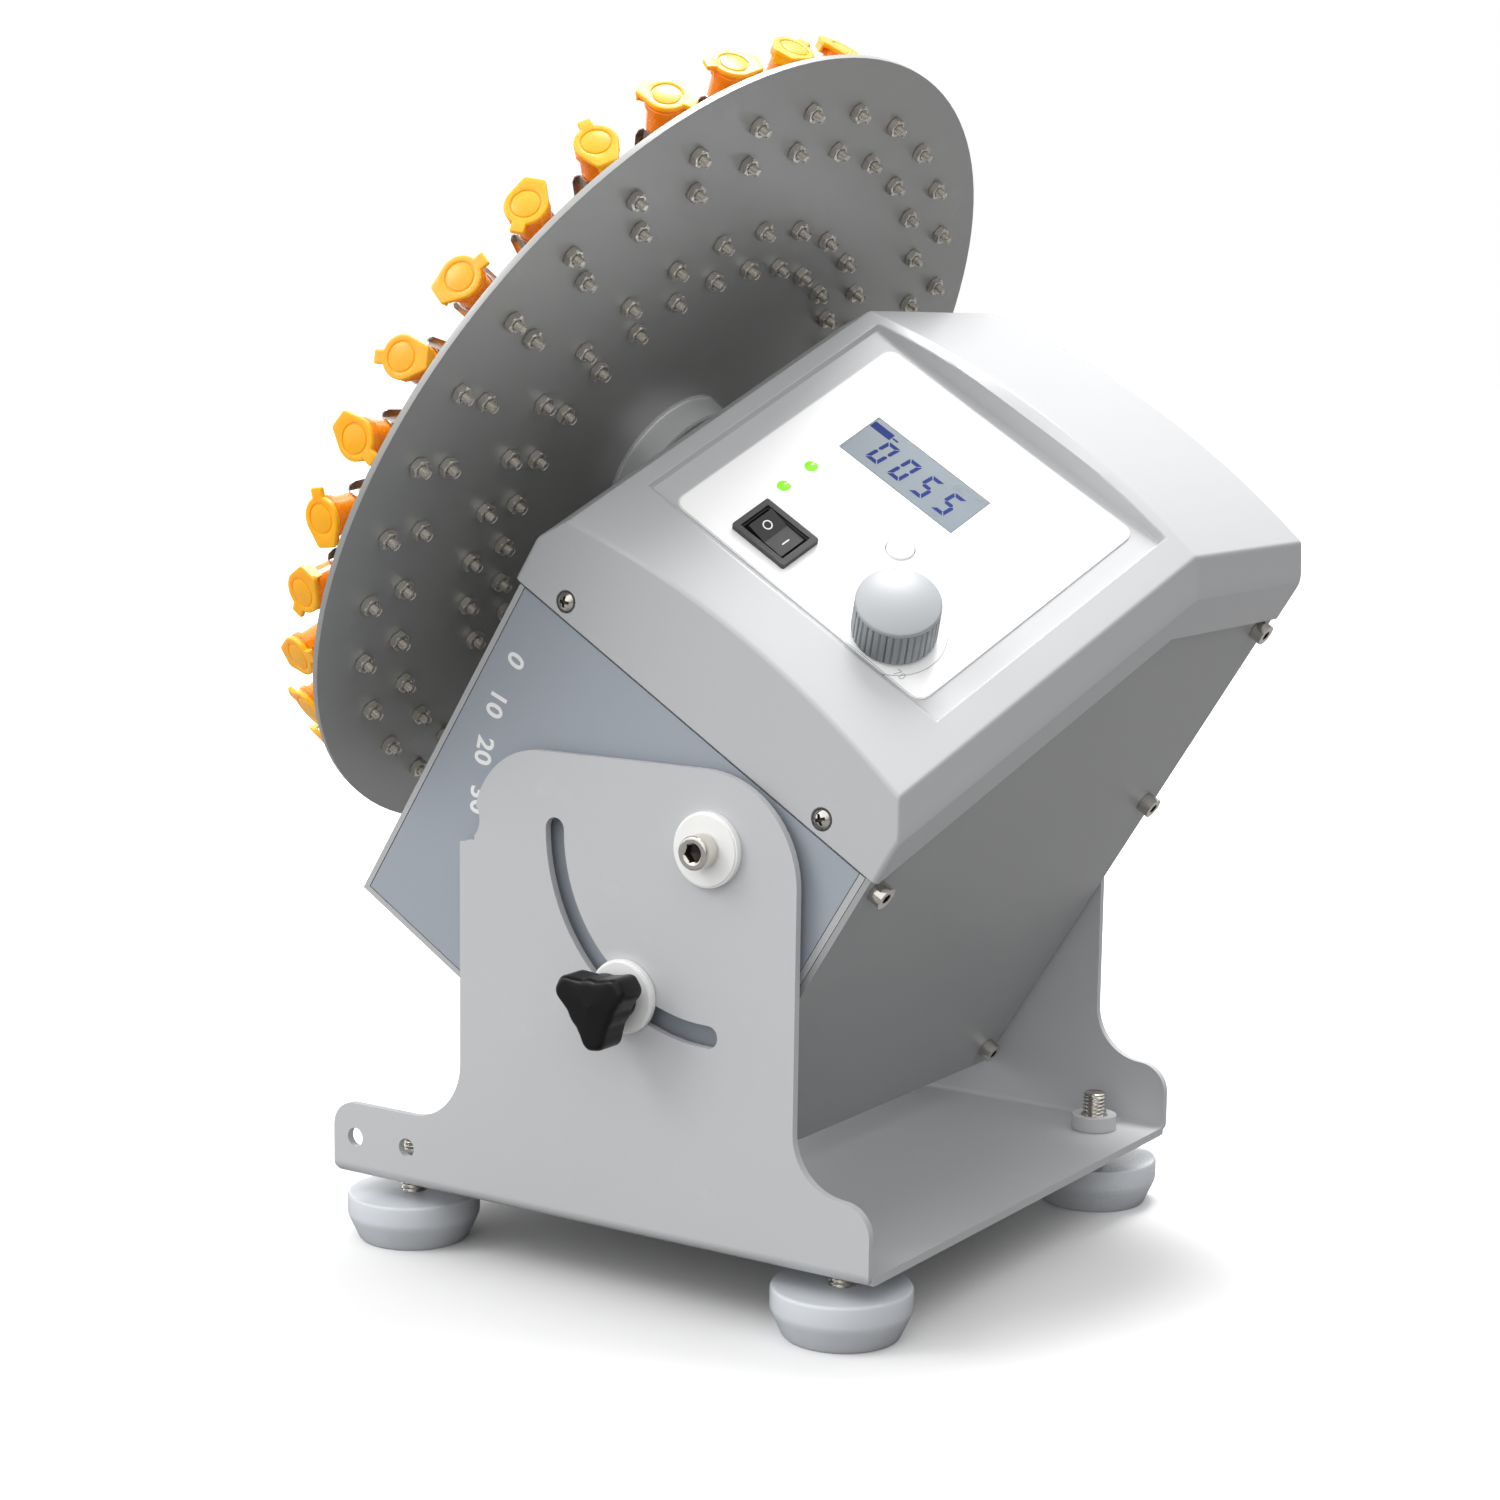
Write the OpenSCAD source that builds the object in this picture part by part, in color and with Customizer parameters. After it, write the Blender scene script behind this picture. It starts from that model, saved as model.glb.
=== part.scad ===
// Disc tube rotator: a tilting drive head in a U bracket on four levelling
// feet, turning a disc of spring clips that hold 1.5 ml tubes.
// Millimetres. +Z up, +X away from the disc, the angle scale faces -Y.
// Origin: floor level, under the middle of the whole machine.

/* [Pose] */
// Tilt of the head, 0 = disc upright, 90 = disc facing up (degrees)
tilt_deg = 31.8; // [0:0.1:90]
// Turn of the disc about its own axis (degrees)
disc_turn = 0; // [-5:0.5:5]

/* [Bracket] */
// Outside width of the U bracket
bracket_w = 196; // [190:1:210]
// Length of the bracket's base
bracket_l = 196.2; // [190:0.1:215]
// Height of the uprights' top edge above the floor
upright_top = 163.5; // [155:0.5:175]
// Sheet thickness of the bracket
sheet_t = 2.5; // [2:0.1:3]
// Height of the bracket's underside above the floor
base_z = 21.5; // [20:0.5:26]
// Height of the tilt axis above the floor
pivot_z = 140.8; // [136:0.1:146]
// Distance of the tilt axis from the bracket's middle
pivot_x = 43; // [38:0.5:48]
// Radius of the curved slot about the tilt axis
slot_r = 54.9; // [50:0.1:58]

/* [Feet] */
// Spacing of the feet along X
feet_x = 159; // [150:1:165]
// Spacing of the feet along Y
feet_y = 162.4; // [150:0.1:164]
// Top diameter of a foot pad
foot_d = 41.8; // [36:0.2:44]
// Height of a foot pad
foot_h = 15; // [12:0.5:17]

/* [Head] */
// Outside width of the head's casing
head_w = 184.8; // [180:0.2:185]
// Slope of the control panel (degrees)
panel_slope = 34.8; // [30:0.2:38]
// Height of the cover's low edge over the tilt axis
cover_low = 47.8; // [44:0.2:52]
// Height of the cover's flat top over the tilt axis
cover_top = 121; // [112:0.5:126]
// Height by which the cover's top is arched
arch = 7; // [3:0.5:9]

/* [Disc] */
// Diameter of the disc
disc_d = 290.6; // [270:0.2:291]
// Thickness of the disc
disc_t = 2; // [1.5:0.1:3]
// Number of clips in the outer ring
outer_n = 32; // [8:4:32]
// Number of clips in the inner ring
inner_n = 28; // [7:7:28]
// Height of the disc's axis over the tilt axis
disc_v = 44; // [40:0.5:48]

/* [Tubes] */
// Outside diameter of a tube's body
tube_d = 10.8; // [10:0.1:11]
// Diameter of a tube's lid
lid_d = 13.4; // [12:0.1:14]

/* [Hidden] */
$fn = 96;
eps = 0.01;
xo = -2.99;                       // places the machine's middle over the origin
xp = pivot_x + xo;
hw = head_w/2;
bw = bracket_w/2;
bl = bracket_l/2;
u0 = -98.7;                       // head's disc-side face
u1 = 44.8;                        // head's back face
v0 = -93.8;                       // head's underside
sl = panel_slope;
cw = hw + 0.6;                    // cover's half width
c0 = -101.1;                      // cover's disc-side end
c1 = 46.4;                        // cover's back end
ch_u = 7;                         // length of the cover's end chamfers
low_edge = 22.7;                  // cover's lower edge, near side
apex_y = -cw + (cover_top - cover_low)/tan(sl);
far_low = low_edge + (cover_top - cover_low);
disc_u = -126.1;                  // disc's face towards the head
out_r = 121; in_r = 79.75;        // middles of the clips
out_ph = 1.35; in_ph = 3;         // first clip's angle
axis_h = 13.8;                    // tube axis over the disc's back face
mod_g = 1; z_drive = 60; z_pin = 20;
mot_v = disc_v - mod_g*(z_drive + z_pin)/2;
gear_u = -64;

// ---------- frames ----------
module H() { translate([xp, 0, pivot_z]) rotate([0, tilt_deg, 0]) children(); }
module S() { H() translate([0, -cw, cover_low]) rotate([sl, 0, 0]) children(); }
module D() { H() translate([disc_u, 0, disc_v]) rotate([0, -90, 0]) rotate([0, 0, disc_turn]) children(); }
module along_x(a, b) { translate([a, 0, 0]) rotate([90, 0, 90]) linear_extrude(b - a) children(); }
module along_y(a, b) { translate([0, b, 0]) rotate([90, 0, 0]) linear_extrude(b - a) children(); }
module cyl_y(x, z, a, b, r) { translate([x, b, z]) rotate([90, 0, 0]) cylinder(h = b - a, r = r); }
module cyl_x(y, z, a, b, r) { translate([a, y, z]) rotate([0, 90, 0]) cylinder(h = b - a, r = r); }
module rrect(x0, y0, x1, y1, r) {
  union() {
    translate([x0 + r, y0]) square([x1 - x0 - 2*r, y1 - y0]);
    translate([x0, y0 + r]) square([x1 - x0, y1 - y0 - 2*r]);
    for (p = [[x0 + r, y0 + r], [x1 - r, y0 + r], [x0 + r, y1 - r], [x1 - r, y1 - r]])
      translate(p) circle(r = r);
  }
}
module corner_cut(x, y, r, sx, sy) {
  // square corner outside a quarter circle, corner at x,y, body towards -sx,-sy
  difference() {
    translate([x + (sx > 0 ? -r : -1), y + (sy > 0 ? -r : -1)]) square(r + 1);
    translate([x - sx*r, y - sy*r]) circle(r = r);
  }
}
module fillet(x, y, r, sx, sy) {
  difference() {
    translate([x + (sx > 0 ? -0.5 : -r), y + (sy > 0 ? -0.5 : -r)]) square(r + 0.5);
    translate([x + sx*r, y + sy*r]) circle(r = r);
  }
}
module hexagon(af) { circle(r = af/2/cos(30), $fn = 6); }
// socket head cap screw, head on z >= 0, shank below
module cap_screw(d, hd, hh, len, af) {
  difference() {
    union() { cylinder(h = hh, r = hd/2); translate([0, 0, -len]) cylinder(h = len + eps, r = d/2); }
    translate([0, 0, hh - hh*0.55]) linear_extrude(hh) hexagon(af);
  }
}
module pan_screw(d, hd, hh, len) {
  difference() {
    union() {
      cylinder(h = hh*0.55, r = hd/2);
      intersection() {
        translate([0, 0, hh - hd*0.62]) sphere(r = hd*0.62);
        translate([0, 0, hh*0.5]) cylinder(h = hh, r = hd/2);
      }
      translate([0, 0, -len]) cylinder(h = len + eps, r = d/2);
    }
    translate([-hd*0.28, -0.35, hh*0.35]) cube([hd*0.56, 0.7, hh]);
    translate([-0.35, -hd*0.28, hh*0.35]) cube([0.7, hd*0.56, hh]);
  }
}

// ---------- bracket ----------
module side_outline() {
  x0 = -bl; x1 = bl; ear = 45;
  xl = -47.5; xl2 = -42; xr = 72.3; top = upright_top;
  difference() {
    union() {
      translate([x0, base_z]) square([x1 - x0, ear - base_z]);
      translate([xl, base_z]) square([xr - xl, 134 - base_z]);
      translate([xl2, base_z]) square([xr - xl2, top - base_z]);
      fillet(xl, ear, 19, -1, 1);
      fillet(xr, ear, 17, 1, 1);
    }
    corner_cut(x0, ear, 8, -1, 1);
    corner_cut(x1, ear, 9.5, 1, 1);
    corner_cut(xl, 134, 1.6, -1, 1);
    corner_cut(xl2, top, 24, -1, 1);
    corner_cut(xr, top, 32, 1, 1);
    // reading notch level with the tilt axis
    translate([xl2 - 5.3, pivot_z - 0.3]) circle(r = 7.3);
  }
}
module u_section() {
  difference() {
    rrect(-bw, base_z, bw, upright_top + 20, 4);
    rrect(-bw + sheet_t, base_z + sheet_t, bw - sheet_t, upright_top + 40, 1.6);
  }
}
module bracket() {
  color([0.80, 0.81, 0.82]) translate([xo, 0, 0]) difference() {
    intersection() {
      along_x(-bl, bl) u_section();
      along_y(-bw - 1, bw + 1) side_outline();
    }
    // bores of the pivot bushes
    for (s = [-1, 1]) cyl_y(pivot_x, pivot_z, s*bw - 5, s*bw + 5, 6.55);
    // curved slot, 0 to 90 degrees of tilt, near side only
    translate([pivot_x, 0, pivot_z]) along_y(-bw - 2, -bw + 5) {
      intersection() {
        difference() { circle(r = slot_r + 3.35); circle(r = slot_r - 3.35); }
        translate([-80, -80]) square(80);
      }
      translate([0, -slot_r]) circle(r = 3.35);
      translate([-slot_r, 0]) circle(r = 3.35);
    }
    // round holes in the low ears
    for (x = [-89.4, -68.7]) cyl_y(x, 34.1, -bw - 2, bw + 2, 3);
    // rounded lower corners of the uprights
    for (p = [[-bw - 1, -bw + 2.4], [bw - 2.4, bw + 1]]) along_y(p[0], p[1]) {
      corner_cut(-bl, base_z, 3.2, -1, -1);
      corner_cut(bl, base_z, 3.2, 1, -1);
    }
    // holes for the threaded bosses
    for (x = [-1, 1], y = [-1, 1])
      translate([x*feet_x/2, y*feet_y/2, base_z - 1]) cylinder(h = sheet_t + 2, r = 5.2);
  }
}
// pressed-in threaded boss round each foot stud
module thread_bosses() {
  color([0.72, 0.73, 0.74]) for (x = [-1, 1], y = [-1, 1])
    translate([xo + x*feet_x/2, y*feet_y/2, base_z]) difference() {
      union() {
        translate([0, 0, sheet_t]) cylinder(h = 5, r = 7.4);
        cylinder(h = sheet_t + 1, r = 5.15);
      }
      translate([0, 0, -1]) cylinder(h = 12, r = 4.05);
      translate([0, 0, sheet_t + 4.4]) cylinder(h = 1, r1 = 4.05, r2 = 5.05);
    }
}
module pivot_bushes() {
  color([0.96, 0.96, 0.95]) for (s = [-1, 1])
    translate([xp, s*bw, pivot_z]) rotate([s < 0 ? 90 : -90, 0, 0]) difference() {
      union() {
        cylinder(h = 2.4, r = 11);
        translate([0, 0, 2.4 - eps]) cylinder(h = 0.6, r = 10.4);
        translate([0, 0, -sheet_t - 0.2]) cylinder(h = 4, r = 6.5);
      }
      translate([0, 0, -5]) cylinder(h = 12, r = 3.05);
    }
}
module pivot_spacers() {
  color([0.93, 0.93, 0.92]) for (s = [-1, 1])
    translate([xp, s*(bw - sheet_t - 0.25), pivot_z]) rotate([s < 0 ? -90 : 90, 0, 0]) difference() {
      cylinder(h = bw - sheet_t - 0.25 - hw, r = 9);
      translate([0, 0, -1]) cylinder(h = 8, r = 3.3);
    }
}

// ---------- feet ----------
module foot_pad(x, y) {
  color([0.70, 0.74, 0.78]) translate([xo + x*feet_x/2, y*feet_y/2, 0]) difference() {
    rotate_extrude() polygon([[0, 0], [foot_d/2 - 4.1, 0], [foot_d/2 - 3.4, 0.7], [foot_d/2 - 0.7, foot_h*0.44],
      [foot_d/2 - 0.2, foot_h*0.52], [foot_d/2, foot_h*0.6], [foot_d/2, foot_h - 1.2], [foot_d/2 - 0.35, foot_h - 0.35],
      [foot_d/2 - 1.2, foot_h], [0, foot_h]]);
    translate([0, 0, 4]) cylinder(h = foot_h, r = 4.02);
  }
}
module foot_stud(x, y) {
  color([0.75, 0.74, 0.70]) translate([xo + x*feet_x/2, y*feet_y/2, 0]) difference() {
    union() {
      translate([0, 0, 4.1]) cylinder(h = 31.6, r = 4);
      translate([0, 0, 35.7 - eps]) cylinder(h = 0.7, r1 = 4, r2 = 3.4);
    }
    translate([-5, -0.5, 35.2]) cube([10, 1, 3]);
  }
}

// ---------- head casing ----------
// inside line of the cover's lower edge, in (y, v)
module roof_fill(dz, half) {
  ay = -cw + (cover_top - cover_low)/tan(sl);
  polygon([[-half, v0 - 20], [half, v0 - 20], [half, far_low + dz], [ay, far_low + dz],
           [-half, low_edge + dz + (cw - half)*tan(sl)]]);
}
module chassis() {
  color([0.82, 0.83, 0.84]) H() difference() {
    union() {
      // front wall
      along_x(u0, u0 + 1.8) difference() { roof_fill(6, hw - 4); translate([-200, v0 - 100]) square([400, 100]); }
      along_x(u0, u0 + 1.8) translate([-hw, v0]) square([head_w, low_edge - 0.5 - v0]);
      // floor
      translate([u0, -hw, v0]) cube([u1 - 2 - u0, head_w, 1.8]);
      // rear wall
      along_x(u1 - 4, u1 - 2) difference() { roof_fill(-0.5, hw - 4); translate([-200, v0 - 100]) square([400, 100]); }
      along_x(u1 - 4, u1 - 2) translate([-hw, v0]) square([head_w, low_edge - 0.5 - v0]);
      along_x(u0, u0 + 1.8) translate([0, v0]) square([hw, far_low - 0.5 - v0]);
      along_x(u1 - 4, u1 - 2) translate([0, v0]) square([hw, far_low - 0.5 - v0]);
    }
    // service window in the rear wall
    translate([u1 - 8, -60, -70]) cube([10, 120, 80]);
    // spindle opening
    cyl_x(0, disc_v, u0 - 2, u0 + 4, 17);
    for (a = [45:90:315]) cyl_x(21*cos(a), disc_v + 21*sin(a), u0 - 2, u0 + 4, 2.2);
    // screws of the back plate
    for (p = plate_screws()) cyl_x(p[0], p[1], u1 - 8, u1 + 4, 2.2);
  }
}
function plate_screws() = [[-85.6, 18.2], [-85.6, -85], [83.5, 91.8], [83.5, 21.9], [83.5, -85]];
module side_panel_near() {
  color([0.55, 0.59, 0.65]) H() difference() {
    along_y(-hw, -hw + 1.8) translate([u0 + 2, v0 + 2]) square([u1 - 4.2 - u0 - 2, low_edge - 0.6 - v0 - 2]);
    cyl_y(0, 0, -hw - 2, -hw + 4, 4.2);
    cyl_y(0, -slot_r, -hw - 2, -hw + 4, 4.2);
  }
}
module side_panel_far() {
  color([0.55, 0.59, 0.65]) H() difference() {
    along_y(hw - 1.8, hw) translate([u0 + 2, v0 + 2]) square([u1 - 4.2 - u0 - 2, far_low - 0.6 - v0 - 2]);
    cyl_y(0, 0, hw - 4, hw + 2, 4.2);
    cyl_y(15, 75, hw - 4, hw + 2, 4.3);
  }
}
module back_plate() {
  color([0.82, 0.83, 0.84]) H() difference() {
    along_x(u1 - 1.8, u1) difference() {
      roof_fill(-0.6, hw);
      translate([-200, v0 - 100]) square([400, 100]);
    }
    for (p = plate_screws()) cyl_x(p[0], p[1], u1 - 5, u1 + 3, 2.2);
  }
}
module back_plate_screws() {
  color([0.7, 0.7, 0.7]) H() for (p = plate_screws())
    translate([u1 + 0.1, p[0], p[1]]) rotate([0, 90, 0]) cap_screw(3.9, 7, 4, 9, 3);
}

// ---------- cover ----------
// arched profile in (u, h), top of the ends at height h0
module arch_profile(a, b, h0, chu, chh, rise, bottom) {
  m = (a + b)/2; L = b - a - 2*chu; R = (L*L/4 + rise*rise)/(2*rise); k = chh/chu;
  intersection() {
    polygon([[a, bottom], [b, bottom], [b, h0 - chh], [b - 20, h0 - chh + 20*k], [a + 20, h0 - chh + 20*k], [a, h0 - chh]]);
    translate([m, h0 + rise - R]) circle(r = R, $fn = 360);
  }
}
module cover_solid(t) {
  intersection() {
    along_y(-cw + t, cw - t) arch_profile(c0 + t, c1 - t, cover_top - t, ch_u, 10.5, arch, -40);
    translate([0, -cw, cover_low]) rotate([sl, 0, 0]) translate([0, 260, 0]) rotate([90, 0, 0])
      linear_extrude(380) arch_profile(c0 + t, c1 - t, 0.15 - t, ch_u + 0.2, 9.4, arch*cos(sl), -160);
  }
}
// recess round the control panel, slope frame
module recess() {
  translate([0, 0, 0]) intersection() {
    translate([-120, 0, 0]) rotate([90, 0, 90]) linear_extrude(200)
      polygon([[27.6, -0.45], [124.2, -0.45], [128.6, 8], [22, 8]]);
    translate([0, 200, 0]) rotate([90, 0, 0]) linear_extrude(300)
      polygon([[-87, -0.45], [28.3, -0.45], [32, 8], [-90.7, 8]]);
  }
}
module panel_holes(g) {
  // display, rocker, knob shaft, lamps, button
  translate([-61.3 - g, 80.5 - g, -30]) cube([45.8 + 2*g, 17.5 + 2*g, 60]);
  translate([-59 - g, 34.8 - g, -30]) cube([19 + 2*g, 13 + 2*g, 60]);
  translate([-1.3, 41, -30]) cylinder(h = 60, r = 4.4 + g);
  for (w = [57, 68.6]) translate([-61.3, w, -30]) cylinder(h = 60, r = 2.05 + g);
  translate([-21.4, 65.1, -30]) cylinder(h = 60, r = 4.5 + g);
}
module cover_screw_at() {
  for (u = [-81.9, 22.8]) { translate([u, -cw, low_edge + 4.9]) rotate([90, 0, 0]) children();
                            translate([u, cw, far_low + 4.9]) rotate([-90, 0, 0]) children(); }
}
module top_cover() {
  color([0.84, 0.85, 0.86]) H() difference() {
    cover_solid(0);
    difference() {
      cover_solid(2.2);
      // keeps the floor of the panel recess
      translate([0, -cw, cover_low]) rotate([sl, 0, 0]) translate([-92, 23, -2.7]) cube([126, 105, 30]);
    }
    // everything under the lower edge
    along_x(c0 - 5, c1 + 5) roof_fill(0, cw + 20);
    translate([0, -cw, cover_low]) rotate([sl, 0, 0]) { recess(); panel_holes(0); }
    cover_screw_at() { translate([0, 0, -0.9]) cylinder(h = 3, r = 3.3); translate([0, 0, -5]) cylinder(h = 8, r = 1.75); }
  }
}
module cover_screws() {
  color([0.72, 0.72, 0.70]) H() cover_screw_at() translate([0, 0, -0.85]) pan_screw(2.9, 5.8, 2.1, 6);
}
module cover_brackets() {
  color([0.72, 0.72, 0.70]) H() {
    for (u = [-81.9, 22.8]) {
      difference() {
        translate([u - 7, -hw + 1.8, low_edge - 14]) cube([14, 2, 26]);
        cyl_y(u, low_edge + 4.9, -hw - 2, -hw + 8, 1.55);
      }
      difference() {
        translate([u - 7, hw - 3.8, far_low - 14]) cube([14, 2, 26]);
        cyl_y(u, far_low + 4.9, hw - 8, hw + 2, 1.55);
      }
    }
  }
}

// ---------- control panel ----------
module panel_film() {
  color([0.97, 0.97, 0.97]) S() difference() {
    translate([0, 0, -0.45]) linear_extrude(0.45) rrect(-78.8, 28.2, 21, 121.6, 4);
    panel_holes(0);
  }
}
module lcd_window() {
  color([0.65, 0.72, 0.76, 0.5]) S() translate([-61.1, 80.7, -1.2]) cube([45.4, 17.1, 1.1]);
}
module lcd_module() {
  color([0.60, 0.67, 0.70]) S() difference() {
    translate([-65, 77.5, -10.8]) cube([53.2, 23.5, 7.9]);
    translate([-61.3, 80.5, -5]) cube([45.8, 17.5, 6]);
  }
}
module led_lenses() {
  color([0.45, 0.80, 0.10]) S() for (w = [57, 68.6]) translate([-61.3, w, -9]) union() {
    cylinder(h = 9, r = 1.9);
    intersection() { translate([0, 0, 4.9]) sphere(r = 4.5); translate([0, 0, 8.5]) cylinder(h = 3, r = 1.9); }
  }
}
rk_u = -49.5; rk_w = 41.3;
module rocker_housing() {
  color([0.10, 0.10, 0.11]) S() difference() {
    union() {
      translate([rk_u - 10.6, rk_w - 7.45, 0.05]) linear_extrude(1.9) rrect(0, 0, 21.2, 14.9, 0.6);
      translate([rk_u - 9.3, rk_w - 6.3, -13]) cube([18.6, 12.6, 13.2]);
    }
    translate([rk_u - 8.1, rk_w - 5.2, -10.5]) cube([16.2, 10.4, 20]);
    translate([rk_u - 8.6, rk_w - 5.7, 1]) cube([17.2, 11.4, 5]);
    translate([rk_u, rk_w, -1.4]) rotate([90, 0, 0]) translate([0, 0, -8]) cylinder(h = 16, r = 1.05);
  }
}
rock_deg = 9;
module rocker_paddle() {
  color([0.08, 0.08, 0.09]) S() translate([rk_u, rk_w, -1.4]) rotate([0, rock_deg, 0]) union() {
    translate([0, 4.8, 0]) rotate([90, 0, 0]) linear_extrude(9.6)
      polygon([[-7.3, 2.2], [-7.3, -1.2], [-4.5, -4.6], [4.5, -4.6], [7.3, -1.2], [7.3, 2.2], [6.9, 3.4], [0, 2.5], [-6.9, 3.4]]);
    translate([0, 5.9, 0]) rotate([90, 0, 0]) cylinder(h = 11.8, r = 1);
  }
}
module mode_button() {
  color([0.95, 0.95, 0.96]) S() translate([-21.4, 65.1, 0]) union() {
    translate([0, 0, -7.6]) cylinder(h = 4, r = 2.2);
    translate([0, 0, -3.8]) cylinder(h = 4.1, r = 4.2);
    translate([0, 0, -3.8]) cylinder(h = 0.8, r = 5.2);
    translate([0, 0, 0.3 - eps]) cylinder(h = 0.2, r1 = 4.2, r2 = 3.9);
  }
}
kn_u = -1.3; kn_w = 41;
module control_knob() {
  color([0.66, 0.69, 0.71]) S() translate([kn_u, kn_w, 0]) difference() {
    union() {
      translate([0, 0, 0.9]) cylinder(h = 12.9, r = 12.1);
      for (i = [0:39]) rotate([0, 0, i*9]) translate([12.05, 0, 1]) cylinder(h = 12.2, r = 0.55);
      intersection() {
        translate([0, 0, 16.4 - 36]) sphere(r = 36, $fn = 180);
        translate([0, 0, 13]) cylinder(h = 8, r = 12.2);
      }
    }
    translate([0, 0, 0]) cylinder(h = 11, r = 3.02);
    difference() { translate([0, 0, 0]) cylinder(h = 10.5, r = 10.6); translate([0, 0, -1]) cylinder(h = 14, r = 5); }
  }
}
module knob_shaft() {
  color([0.75, 0.75, 0.74]) S() translate([kn_u, kn_w, -9]) cylinder(h = 19.8, r = 3);
}
module knob_potentiometer() {
  color([0.35, 0.36, 0.38]) S() translate([kn_u, kn_w, 0]) difference() {
    union() {
      translate([-6.5, -6.5, -11.2]) cube([13, 13, 7.6]);
      translate([0, 0, -3.8]) cylinder(h = 4.2, r = 4.2);
    }
    translate([0, 0, -9.2]) cylinder(h = 12, r = 3.06);
  }
}
module control_board() {
  color([0.10, 0.36, 0.20]) S() difference() {
    union() {
      translate([-76, 30, -13.2]) cube([94, 74, 1.6]);
      translate([-30, 84, -11.7]) cube([12, 12, 0.1]);
      translate([-24.4, 62.1, -11.7]) cube([6, 6, 3.4]);       // key under the button
      translate([-40, 50, -16.2]) cube([9, 9, 3.1]);
      translate([-12, 60, -15.2]) cube([14, 8, 2.1]);
    }
    translate([rk_u - 10.5, rk_w - 7.5, -20]) cube([21, 15, 16]);
    for (p = standoff_at()) translate([p[0], p[1], -20]) cylinder(h = 16, r = 1.7);
  }
}
function standoff_at() = [[-72.5, 33.5], [14.5, 33.5], [-72.5, 100.5], [14.5, 100.5]];
module board_standoffs() {
  color([0.80, 0.68, 0.35]) S() for (p = standoff_at()) translate([p[0], p[1], 0]) union() {
    translate([0, 0, -11.5]) linear_extrude(8.7) hexagon(5.5);
    translate([0, 0, -14.6]) cylinder(h = 4, r = 1.5);
    translate([0, 0, -15.4]) cylinder(h = 2.1, r = 2.8);
  }
}
module drive_board() {
  color([0.10, 0.36, 0.20]) H() union() {
    translate([-40, 36, v0 + 9.8]) cube([70, 50, 1.6]);
    for (x = [-36, 26], y = [40, 82]) translate([x, y, v0 + 1.8]) cylinder(h = 8.1, r = 2.5);
    translate([-30, 46, v0 + 11.3]) cube([16, 12, 10]);
    translate([0, 72, v0 + 11.3]) cylinder(h = 14, r = 5);
    translate([14, 72, v0 + 11.3]) cylinder(h = 14, r = 5);
    translate([4, 46, v0 + 11.3]) cube([18, 12, 4]);
  }
}
module dc_inlet() {
  color([0.12, 0.12, 0.13]) H() translate([15, hw, 75]) rotate([-90, 0, 0]) difference() {
    union() {
      translate([0, 0, 0.05]) cylinder(h = 1.8, r = 5.6);
      translate([0, 0, -14]) cylinder(h = 14.2, r = 4.2);
      translate([0, 0, -4.2]) linear_extrude(2.2) hexagon(11);
    }
    difference() { translate([0, 0, -10]) cylinder(h = 14, r = 2.8); translate([0, 0, -11]) cylinder(h = 11, r = 1.05); }
  }
}

// ---------- tilt pivot and clamp ----------
module pivot_blocks() {
  color([0.62, 0.63, 0.64]) H() {
    difference() {
      translate([-14, -hw + 1.8, -slot_r - 14]) cube([28, 8, slot_r + 28]);
      cyl_y(0, 0, -hw, -hw + 12, 3.02);
      cyl_y(0, -slot_r, -hw, -hw + 12, 3.05);
    }
    difference() {
      translate([-14, hw - 9.8, -14]) cube([28, 8, 28]);
      cyl_y(0, 0, hw - 12, hw, 3.02);
    }
  }
}
module pivot_screws() {
  color([0.72, 0.71, 0.68]) H() for (s = [-1, 1])
    translate([0, s*(bw + 3.05), 0]) rotate([s < 0 ? 90 : -90, 0, 0]) cap_screw(6, 10, 6, 17, 5);
}
module tilt_washer() {
  color([0.96, 0.96, 0.95]) H() translate([0, -bw - 0.15, -slot_r]) rotate([90, 0, 0]) difference() {
    union() {
      cylinder(h = 2.2, r = 11);
      translate([0, 0, 2.2 - eps]) cylinder(h = 0.6, r = 10.4);
      translate([0, 0, -sheet_t - 2.6]) cylinder(h = sheet_t + 3, r = 3.25);
    }
    translate([0, 0, -12]) cylinder(h = 20, r = 2.56);
  }
}
module tilt_stud() {
  color([0.72, 0.71, 0.68]) H() cyl_y(0, -slot_r, -bw - 12, -hw + 9.5, 2.5);
}
module star2d() {
  union() {
    circle(r = 8.4);
    for (a = [33, 154, 277]) rotate([0, 0, a]) {
      translate([9.3, 0]) circle(r = 3.9);
      polygon([[0, -8.2], [9.3, -3.9], [9.3, 3.9], [0, 8.2]]);
    }
  }
}
module tilt_knob() {
  color([0.05, 0.05, 0.055]) H() translate([0, -bw - 3.1, -slot_r]) rotate([0, -tilt_deg, 0]) rotate([90, 0, 0]) difference() {
    union() {
      cylinder(h = 8, r = 6.2);
      translate([0, 0, 5]) linear_extrude(11) star2d();
      intersection() {
        translate([0, 0, 16 - eps]) linear_extrude(2) star2d();
        translate([0, 0, 17.2 - 60]) sphere(r = 60, $fn = 180);
      }
    }
    translate([0, 0, -1]) cylinder(h = 10, r = 2.53);
  }
}

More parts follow.
